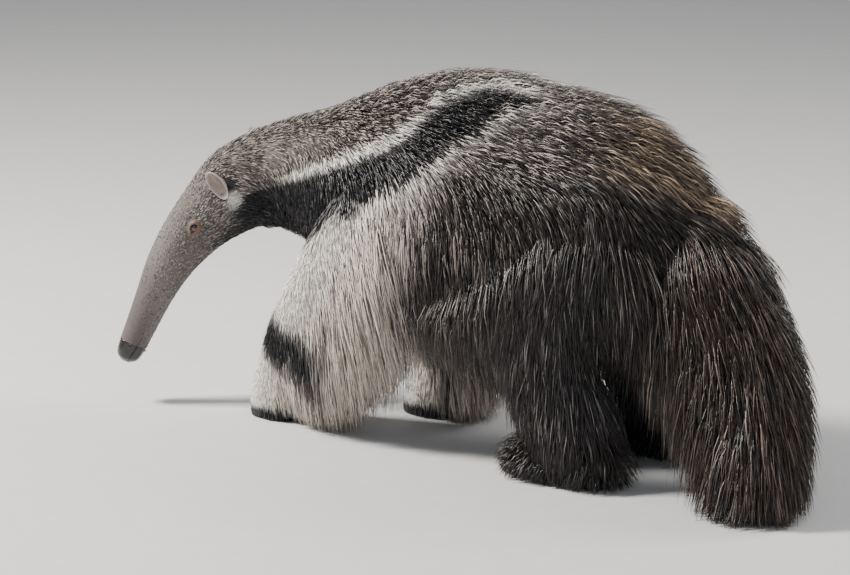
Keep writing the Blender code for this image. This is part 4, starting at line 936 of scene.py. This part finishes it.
def trunk_lie(x, angle, along):
    down, crest = ease(angle, *HANG_ROUND), ease(angle, *CREST_ROUND)
    lies = along * (1 - FLANK_TURNS_DOWN * down)[:, None] - UP * (BACK_DOWN + (1 - BACK_DOWN) * down)[:, None]
    grown = ease(x, *GROWN_X)
    fringe = ease(angle, *FRINGE_ROUND) * ease(x, *FRINGE_X)
    long = NECK_HAIR + (BACK_LONGER + MANE_LONGER * crest) * grown
    long = long + FRINGE_LONGER * fringe + REAR_LONGER * ease(x, *REAR_X)
    mane = (CREST_LIFT + MANE_LIFT * grown) * crest * (1 - LOWER_OVER_TAIL * ease(x, *OVER_TAIL_X))
    rise = TRUNK_LIFT + GROWN_LIFT * grown + mane
    rise = rise + FRINGE_LIFT * fringe * ease(x, *FRINGE_END_X) + BELLY_LIFT * ease(angle, *BELLY_ROUND)
    return lies, long, rise, TRUNK_DROOP + FLANK_DROOP * down + CREST_DROOP * crest


TAIL_HALF, TAIL_UNDER, TAIL_END_Z, TAIL_BASE_X = 0.05, (-0.25, 0.6), (0.12, 0.04), (0.62, 0.50)
TAIL_HAIR, TAIL_LONGER, TAIL_END_SHORTER = 0.110, 0.090, 0.05
TAIL_ALONG, TAIL_DOWN, TAIL_BACKWARD = 0.9, 0.30, np.array([0.10, 0, 0])
TAIL_LIFT, TAIL_UNDER_LIFT, TAIL_BASE_LIFT, TAIL_DROOP = 0.42, 0.25, 0.22, 0.45


def tail_lie(points, x, along, middle):
    above = unit(np.stack([-along[:, 2], np.zeros(len(x)), along[:, 0]], axis=1))
    under = np.clip(-((points - middle[:, :3]) * above).sum(axis=1) / TAIL_HALF, -0.4, 1.0)
    hang = ease(under, *TAIL_UNDER)
    down = (TAIL_DOWN + (1 - TAIL_DOWN) * hang)[:, None]
    lies = along * (TAIL_ALONG - TAIL_ALONG * hang)[:, None] - UP * down + TAIL_BACKWARD
    long = TAIL_HAIR + TAIL_LONGER * hang - TAIL_END_SHORTER * ease(points[:, 2], *TAIL_END_Z)
    rise = TAIL_LIFT + TAIL_UNDER_LIFT * hang + TAIL_BASE_LIFT * ease(x, *TAIL_BASE_X) * (1 - hang)
    return lies, long, rise, TAIL_DROOP + TAIL_DROOP * hang


FORELEG_HALF, FORELEG_REAR, FORELEG_HIGH_Z, UPPER_ARM_Z = 0.06, (-0.30, 0.75), (0.03, 0.14), (0.18, 0.34)
FORELEG_HAIR, FORELEG_LONGER, FORELEG_REAR_LONGER, FORELEG_FRINGE_LONGER = 0.013, 0.014, 0.028, 0.105
FORELEG_BACKWARD, UPPER_ARM_BACKWARD = 0.20, 0.45
FORELEG_LIFT, FORELEG_REAR_LIFT, FORELEG_DROOP, FORELEG_REAR_DROOP = 0.14, 0.50, 0.10, 0.62


def foreleg_lie(points, middle):
    z = points[:, 2]
    behind = np.clip((points[:, 0] - middle[:, 0]) / FORELEG_HALF, -1.0, 1.0)
    rear = ease(behind, *FORELEG_REAR)
    backward = FORELEG_BACKWARD + UPPER_ARM_BACKWARD * ease(z, *UPPER_ARM_Z)
    lies = np.stack([backward, np.zeros(len(z)), np.full(len(z), -1.0)], axis=1)
    high = ease(z, *FORELEG_HIGH_Z)
    long = FORELEG_HAIR + FORELEG_LONGER * high + (FORELEG_REAR_LONGER + FORELEG_FRINGE_LONGER * high) * rear
    return lies, long, FORELEG_LIFT + FORELEG_REAR_LIFT * rear, FORELEG_DROOP + FORELEG_REAR_DROOP * rear


HINDLEG_WAY, HINDLEG_HIGH_Z, THIGH_Z = (0.06, 0.0, -1.0), (0.03, 0.16), (0.10, 0.27)
HINDLEG_HAIR, HINDLEG_LONGER, HINDLEG_LIFT, THIGH_FLATTER, HINDLEG_DROOP = 0.052, 0.043, 0.66, 0.46, 0.40


def hindleg_lie(z):
    long = HINDLEG_HAIR + HINDLEG_LONGER * ease(z, *HINDLEG_HIGH_Z)
    lies = np.tile(HINDLEG_WAY, (len(z), 1))
    return lies, long, HINDLEG_LIFT - THIGH_FLATTER * ease(z, *THIGH_Z), HINDLEG_DROOP


FOOT_ALONG, FOOT_Z, FOOT_HAIR, FOOT_LONGER = 0.25, (0.012, 0.045), 0.026, 0.034
TOES_SHARE, TOES_SHORTER, FOOT_LIFT, TOES_FLATTER, FOOT_DROOP = (0.55, 0.85), 0.65, 0.75, 0.40, 0.55


def hindfoot_lie(z, along, toward_toes):
    toes = ease(toward_toes, *TOES_SHARE)
    long = (FOOT_HAIR + FOOT_LONGER * ease(z, *FOOT_Z)) * (1 - TOES_SHORTER * toes)
    return along * FOOT_ALONG - UP, long, FOOT_LIFT - TOES_FLATTER * toes, FOOT_DROOP


def lie_of_coat(points, normals):
    """How the hair lies at each root: its way, length, lift, droop, and the limbs' weights."""
    weights, nearest = limbs_at(points)
    count = len(points)
    x, z = points[:, 0] - PLACE[0], points[:, 2]
    angle = trunk_angle(points)
    way, length, lift, droop = np.zeros((count, 3)), np.zeros(count), np.zeros(count), np.zeros(count)
    for i, name in enumerate(LIMB_NAMES):
        rows = FINE_LIMBS[name]
        along = unit(np.gradient(rows[:, :3], axis=0))[nearest[:, i]]
        middle = rows[nearest[:, i]]
        kind = name.split("_")[0]
        if kind == "head":
            lies, long, rise, fall = head_lie(points, along)
        elif kind == "trunk":
            lies, long, rise, fall = trunk_lie(x, angle, along)
        elif kind == "tail":
            lies, long, rise, fall = tail_lie(points, x, along, middle)
        elif kind == "foreleg":
            lies, long, rise, fall = foreleg_lie(points, middle)
        elif kind == "hindleg":
            lies, long, rise, fall = hindleg_lie(z)
        else:
            lies, long, rise, fall = hindfoot_lie(z, along, nearest[:, i] / (len(rows) - 1))
        w = weights[:, i]
        way += unit(lies) * w[:, None]
        length += long * w
        lift += rise * w
        droop += fall * w
    way = unit(way - normals * (way * normals).sum(axis=1)[:, None])
    return way, length, lift, droop, weights, nearest


# Where each limb's skin is unrolled to: left, bottom, width and height of its field. A hind leg fills
# the first part of its field and its foot the rest. Within a row, a root's step along the limb counts.
LEG_SHARE, FOOT_START, LIMB_STEP = 0.70, 0.72, 0.02
UNWRAP = {
    "trunk": (0.02, 0.52, 0.58, 0.46),
    "head": (0.62, 0.52, 0.36, 0.46),
    "tail": (0.02, 0.02, 0.28, 0.47),
    "foreleg_left": (0.32, 0.02, 0.14, 0.47),
    "foreleg_right": (0.48, 0.02, 0.14, 0.47),
    "hindleg_left": (0.64, 0.02, 0.14, 0.47),
    "hindleg_right": (0.80, 0.02, 0.14, 0.47),
    "hindfoot_left": (0.64, 0.02, 0.14, 0.47),
    "hindfoot_right": (0.80, 0.02, 0.14, 0.47),
}


def unwrapped(points, weights, nearest):
    """Each root's place on the unrolled skin: along its limb, and round it."""
    best = weights.argmax(axis=1)
    flat = np.zeros((len(points), 2))
    for i, name in enumerate(LIMB_NAMES):
        mine = best == i
        if not mine.any():
            continue
        rows = FINE_LIMBS[name]
        near = nearest[mine, i]
        along = unit(np.gradient(rows[:, :3], axis=0))[near]
        across = unit(SIDEWAYS - along * along[:, 1:2])
        above = np.cross(along, across)
        offset = points[mine] - rows[near, :3]
        turn = np.arctan2((offset * above).sum(axis=1), (offset * across).sum(axis=1))
        step = np.clip((offset * along).sum(axis=1) / LIMB_STEP, -0.5, 0.5)
        share = np.clip((near + step) / len(rows), 0, 1)
        if name.startswith("hindfoot"):
            share = FOOT_START + (1 - FOOT_START) * share
        elif name.startswith("hindleg"):
            share = LEG_SHARE * share
        left, bottom, wide, tall = UNWRAP[name]
        flat[mine, 0] = left + wide * share
        flat[mine, 1] = bottom + tall * (turn / (2 * np.pi) + 0.5)
    return flat


# A tuft's breadth at each of its rings, its thickness to its breadth, the size of its patch on the
# unwrap, and how far sideways the coat may stand: freely, and then ever less up to a spare breadth.
TUFT_BREADTH, TUFT_THICKNESS, PATCH = {2: (1.0, 0.74), 3: (0.90, 1.0, 0.62)}, 0.22, 0.003
COAT_WIDE, COAT_SPARE, TIPS_ABOVE_FLOOR, HAIR_ABOVE_FLOOR = 0.185, 0.036, 0.0018, 0.0012
SHORTEST, LENGTH_VARIES, LIFT_VARIES, NARROWEST, BREADTH_VARIES = 0.75, 0.5, 0.22, 0.6, 0.8
ROOT_LIFT, TIP_LOWER, ROOT_COVERED = 1.25, 0.9, 1.2
SEEN_SHARE, CLUMP_PULL, CLUMP_BEND = 0.8, 0.5, 1.6
# How much each hair's own colour varies, blends with its neighbours' and starts from the dark root.
DARKEST, DEPTH_VARIES, EVEN_SHARE, ROOT_DARK, TIP_DARK = 0.75, 0.5, 0.15, 0.75, 0.65
ROOT_REACH, TIP_REACH = (0.05, 0.60), (0.70, 1.0)


def tuft_paths(place, normal, lie, rings, wild, sink, vary):
    """The points from root to tip of each tuft, which rises off the skin, bends over and droops."""
    way, length, lift, droop = lie
    side = np.cross(way, normal)
    way = unit(way + side * ((vary[:, 0] - 0.5) * 2 * wild)[:, None])
    length = length * (SHORTEST + LENGTH_VARIES * vary[:, 1])
    lift = lift + (vary[:, 2] - 0.5) * LIFT_VARIES
    bend = (vary[:, 3] - 0.5) * 2 * wild
    path = [place - normal * sink]
    for i in range(rings + 1):
        done = i / rings
        raised = (lift * (ROOT_LIFT - TIP_LOWER * done))[:, None]
        ahead = way * np.cos(raised) + normal * np.sin(raised) - UP * (droop * done)[:, None]
        ahead = unit(ahead + side * (bend * done)[:, None])
        extra = sink * ROOT_COVERED if i == 0 else 0.0
        path.append(path[-1] + ahead * (length / (rings + 1) + extra)[:, None])
    return np.array(path), unit(np.cross(way, normal))


def draw_into_locks(path, place, clump, pull):
    """Draws each tuft's tip to the nearest of some leading tufts, and keeps the coat's breadth."""
    leaders = np.arange(0, len(place), clump)
    tree = KDTree(len(leaders))
    for k, i in enumerate(leaders):
        tree.insert(place[i], k)
    tree.balance()
    leader = leaders[np.array([tree.find(p)[1] for p in place])]
    for i in range(1, len(path)):
        path[i] += (path[i][leader] - path[i]) * (pull * (i / (len(path) - 1)) ** CLUMP_BEND)[:, None]
    aside = path[:, :, 1] - PLACE[1]
    beyond = np.maximum(np.abs(aside) - COAT_WIDE, 0)
    path[:, :, 1] -= np.sign(aside) * (beyond - COAT_SPARE * np.tanh(beyond / COAT_SPARE))
    path[:, :, 2] = np.maximum(path[:, :, 2], TIPS_ABOVE_FLOOR)


def tuft_points(path, across, broad, rings):
    """The corners of each tuft: a point at the root, three round every ring, a point at the tip."""
    verts = np.empty((len(broad), rings * 3 + 2, 3))
    verts[:, 0], verts[:, -1] = path[0], path[-1]
    for i in range(rings):
        ahead = unit(path[i + 2] - path[i])
        flat = unit(across - ahead * (across * ahead).sum(axis=1)[:, None])
        half = flat * (broad * TUFT_BREADTH[rings][i] / 2)[:, None]
        thick = np.cross(flat, ahead) * (broad * TUFT_BREADTH[rings][i] * TUFT_THICKNESS)[:, None]
        verts[:, i * 3 + 1] = path[i + 1] - half - thick
        verts[:, i * 3 + 2] = path[i + 1] + half - thick
        verts[:, i * 3 + 3] = path[i + 1] + thick
    verts[:, :, 2] = np.maximum(verts[:, :, 2], HAIR_ABOVE_FLOOR)
    return verts


def tuft_corners(rings):
    """The corners of one tuft's faces in a row, and how many corners each of its faces has."""
    last, top = rings * 3 + 1, rings * 3 - 2
    faces = [(0, 1 + (k + 1) % 3, 1 + k) for k in range(3)]
    for i in range(rings - 1):
        for k in range(3):
            a, b = i * 3 + 1 + k, i * 3 + 1 + (k + 1) % 3
            faces.append((a, b, b + 3, a + 3))
    faces += [(top + k, top + (k + 1) % 3, last) for k in range(3)]
    return np.array([corner for face in faces for corner in face]), [len(face) for face in faces]


def hair_colours(dark, pale, share, rings, vary):
    """A colour for every corner of every tuft, dark at the root and in its own shade to the tip."""
    own = mix(dark, pale, (vary[:, 6] < share).astype(float)) * (DARKEST + DEPTH_VARIES * vary[:, 7])[:, None]
    own = mix(own, mix(dark, pale, share), np.full(len(share), EVEN_SHARE))
    base = dark * ROOT_DARK + own * (1 - ROOT_DARK)
    reach = np.array([0.0] + [(i + 1) / (rings + 1) for i in range(rings) for _ in range(3)] + [1.0])
    tip_dark = TIP_DARK * (1 - share)[:, None] * ease(reach, *TIP_REACH)[None, :]
    grade = (ease(reach, *ROOT_REACH)[None, :] * (1 - tip_dark))[:, :, None]
    return base[:, None, :] * (1 - grade) + own[:, None, :] * grade


def grow(name, mask, count, width, rings, clump, wild, sink, finish):
    """A piece of coat: solid tapered tufts, each of so many rings, drawn together into locks."""
    place, normal = roots_on(mask, count)
    *lie, weights, nearest = lie_of_coat(place, normal)
    vary = DRAW.random((count, 8))
    path, across = tuft_paths(place, normal, lie, rings, wild, sink, vary)
    seen = place + (path[-2] * 0.5 + path[-1] * 0.5 - place) * SEEN_SHARE
    seen_weights, seen_nearest = limbs_at(seen)
    dark, pale, share = markings(seen, (seen_weights + weights) / 2, seen_nearest)
    draw_into_locks(path, place, clump, CLUMP_PULL * vary[:, 4])
    verts = tuft_points(path, across, width * (NARROWEST + BREADTH_VARIES * vary[:, 5]), rings)

    each = verts.shape[1]
    corner, totals = tuft_corners(rings)
    all_corners = (corner[None, :] + (np.arange(count) * each)[:, None]).ravel()
    starts = np.concatenate([[0], np.cumsum(np.tile(totals, count))[:-1]])
    mesh = bpy.data.meshes.new(name)
    mesh.vertices.add(count * each)
    mesh.vertices.foreach_set("co", verts.ravel())
    mesh.loops.add(len(all_corners))
    mesh.loops.foreach_set("vertex_index", all_corners.astype(np.int32))
    mesh.polygons.add(len(starts))
    mesh.polygons.foreach_set("loop_start", starts.astype(np.int32))
    mesh.update(calc_edges=True)
    mesh.shade_smooth()
    paint(mesh, hair_colours(dark, pale, share, rings, vary).reshape(-1, 3))

    local = [((k - 1) * 0.5, (i + 1) / (rings + 1) - 0.5) for i in range(rings) for k in range(3)]
    local = np.array([(0.0, -0.5)] + local + [(0.0, 0.5)])
    patches = unwrapped(place, weights, nearest)[:, None, :] + local[None, :, :] * PATCH
    uv = mesh.uv_layers.new(name="OFBake")
    uv.data.foreach_set("uv", patches.reshape(-1, 2)[all_corners].ravel())
    made = bpy.data.objects.new(name, mesh)
    bpy.context.scene.collection.objects.link(made)
    mesh.materials.append(finish)
    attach(made, "root")


def hair_finish(name, roughness):
    """The finish of dry hair, with a glint along it."""
    made = surface(name, roughness, grain=0.004, bump=0.15, speckle=0.18)
    made.node_tree.nodes["Principled BSDF"].inputs["Specular IOR Level"].default_value = 0.60
    return made


def limb_is(*names):
    return np.isin(MIDDLE_LIMB, [LIMB_NAMES.index(name) for name in names])


BRISTLE, GUARD_HAIR = hair_finish("bristle", 0.55), hair_finish("guard_hair", 0.38)
FUR_END_S, NECK_END_X, CREST_HALF, MANE_CUT_X, TAIL_CUT_X = 0.285, -0.19, 38, 0.13, 0.60
x_middle, y_middle = TRIANGLE_MIDDLE[:, 0] - PLACE[0], TRIANGLE_MIDDLE[:, 1] - PLACE[1]
trunk, tail = limb_is("trunk"), limb_is("tail")
face = limb_is("head") & ((TRIANGLE_MIDDLE - NECK_FRONT) @ FORWARD < FUR_END_S)
crest = trunk & (x_middle >= NECK_END_X) & (MIDDLE_ANGLE < CREST_HALF)
flank = trunk & (x_middle >= NECK_END_X) & (MIDDLE_ANGLE >= CREST_HALF)
fore_left, fore_right = limb_is("foreleg_left"), limb_is("foreleg_right")
hind_left, hind_right = limb_is("hindleg_left", "hindfoot_left"), limb_is("hindleg_right", "hindfoot_right")
tail_base, tail_end = tail & (x_middle < TAIL_CUT_X), tail & (x_middle >= TAIL_CUT_X)
# Each piece of coat: where it grows, tufts, their breadth, rings, tufts to a lock, wildness, how deep
# the roots stand in the skin, finish and slot.
for name, mask, count, width, rings, clump, wild, sink, finish, slot in (
    ("face_fur", face, 13000, 0.0015, 2, 3, 0.35, 0.001, BRISTLE, "head_fur"),
    ("neck_fur", trunk & (x_middle < NECK_END_X), 10000, 0.0017, 2, 5, 0.25, 0.003, BRISTLE, "body_fur"),
    ("mane_front", crest & (x_middle < MANE_CUT_X), 8500, 0.0023, 2, 7, 0.20, 0.003, GUARD_HAIR, "body_fur"),
    ("mane_rear", crest & (x_middle >= MANE_CUT_X), 9000, 0.0025, 2, 7, 0.20, 0.003, GUARD_HAIR, "body_fur"),
    ("flank_coat_left", flank & (y_middle < 0), 14000, 0.0024, 2, 8, 0.26, 0.003, GUARD_HAIR, "body_fur"),
    ("flank_coat_right", flank & (y_middle >= 0), 9000, 0.0029, 2, 8, 0.18, 0.003, GUARD_HAIR, "body_fur"),
    ("foreleg_coat_left", fore_left, 13000, 0.0022, 2, 7, 0.18, 0.003, GUARD_HAIR, "foreleg_fur"),
    ("foreleg_coat_right", fore_right, 8000, 0.0027, 2, 7, 0.18, 0.003, GUARD_HAIR, "foreleg_fur"),
    ("hindleg_coat_left", hind_left, 14000, 0.0023, 2, 8, 0.26, 0.003, GUARD_HAIR, "hindleg_fur"),
    ("hindleg_coat_right", hind_right, 8000, 0.0030, 2, 8, 0.18, 0.003, GUARD_HAIR, "hindleg_fur"),
    ("tail_coat_base", tail_base, 7000, 0.0025, 3, 8, 0.24, 0.003, GUARD_HAIR, "tail_fur"),
    ("tail_coat_end", tail_end, 6500, 0.0025, 3, 8, 0.24, 0.003, GUARD_HAIR, "tail_fur"),
):
    grow(name, mask, count, width, rings, clump, wild, sink, finish)


# Setting.
# A plain pale floor, a key light from high at the front left, a soft fill, a rim light from behind on
# the right, and a camera that looks at the animal's left side from a little behind and above.
FLOOR_HALF, FLOOR_PALE = 8, 0.62
floor_corners = [(x * FLOOR_HALF, y * FLOOR_HALF, 0) for x, y in ((-1, -1), (1, -1), (1, 1), (-1, 1))]
floor = mesh_object("floor", floor_corners, [(0, 1, 2, 3)])
paint(floor.data, np.full((4, 3), FLOOR_PALE))
floor.data.materials.append(surface("pale_floor", roughness=0.8, grain=0.05, bump=0.02, speckle=0.02))

SKY_COLOUR, SKY_STRENGTH = (0.86, 0.88, 0.92, 1.0), 0.36
world = bpy.data.worlds.new("studio")
world.use_nodes = True
world.node_tree.nodes["Background"].inputs["Color"].default_value = SKY_COLOUR
world.node_tree.nodes["Background"].inputs["Strength"].default_value = SKY_STRENGTH
bpy.context.scene.world = world


def lamp(name, place, aim, size, power, colour):
    """A square soft light at a place, aimed at a point near the animal."""
    light = bpy.data.lights.new(name, "AREA")
    light.size = size
    light.energy = power
    light.color = colour
    made = bpy.data.objects.new(name, light)
    bpy.context.scene.collection.objects.link(made)
    made.location = place
    made.rotation_euler = (Vector(aim) - Vector(place)).to_track_quat("-Z", "Y").to_euler()


lamp("key", (-2.6, -1.7, 3.2), (0.0, 0.0, 0.3), 0.8, 430, (1.0, 0.96, 0.90))
lamp("fill", (2.2, -3.6, 1.6), (0.1, 0.0, 0.3), 2.5, 30, (0.84, 0.91, 1.0))
lamp("rim", (1.6, 2.4, 2.6), (0.1, 0.0, 0.4), 1.6, 90, (1.0, 0.97, 0.93))

VIEW_AZIMUTH, VIEW_ELEVATION, VIEW_DISTANCE = math.radians(37), math.radians(13), 5.5
VIEW_TARGET, FOCAL_PIXELS, IMAGE_WIDTH, SENSOR_WIDTH = (0.100, -0.175, 0.300), 3300, 850, 36.0
back = Vector((
    math.sin(VIEW_AZIMUTH) * math.cos(VIEW_ELEVATION),
    -math.cos(VIEW_AZIMUTH) * math.cos(VIEW_ELEVATION),
    math.sin(VIEW_ELEVATION),
))
target = Vector(VIEW_TARGET) + Vector(PLACE)
lens = bpy.data.cameras.new("camera")
lens.sensor_width = SENSOR_WIDTH
lens.lens = FOCAL_PIXELS / IMAGE_WIDTH * SENSOR_WIDTH
lens.clip_end = 60.0
camera = bpy.data.objects.new("camera", lens)
bpy.context.scene.collection.objects.link(camera)
camera.location = target + back * VIEW_DISTANCE
camera.rotation_euler = back.to_track_quat("Z", "Y").to_euler()
bpy.context.scene.camera = camera
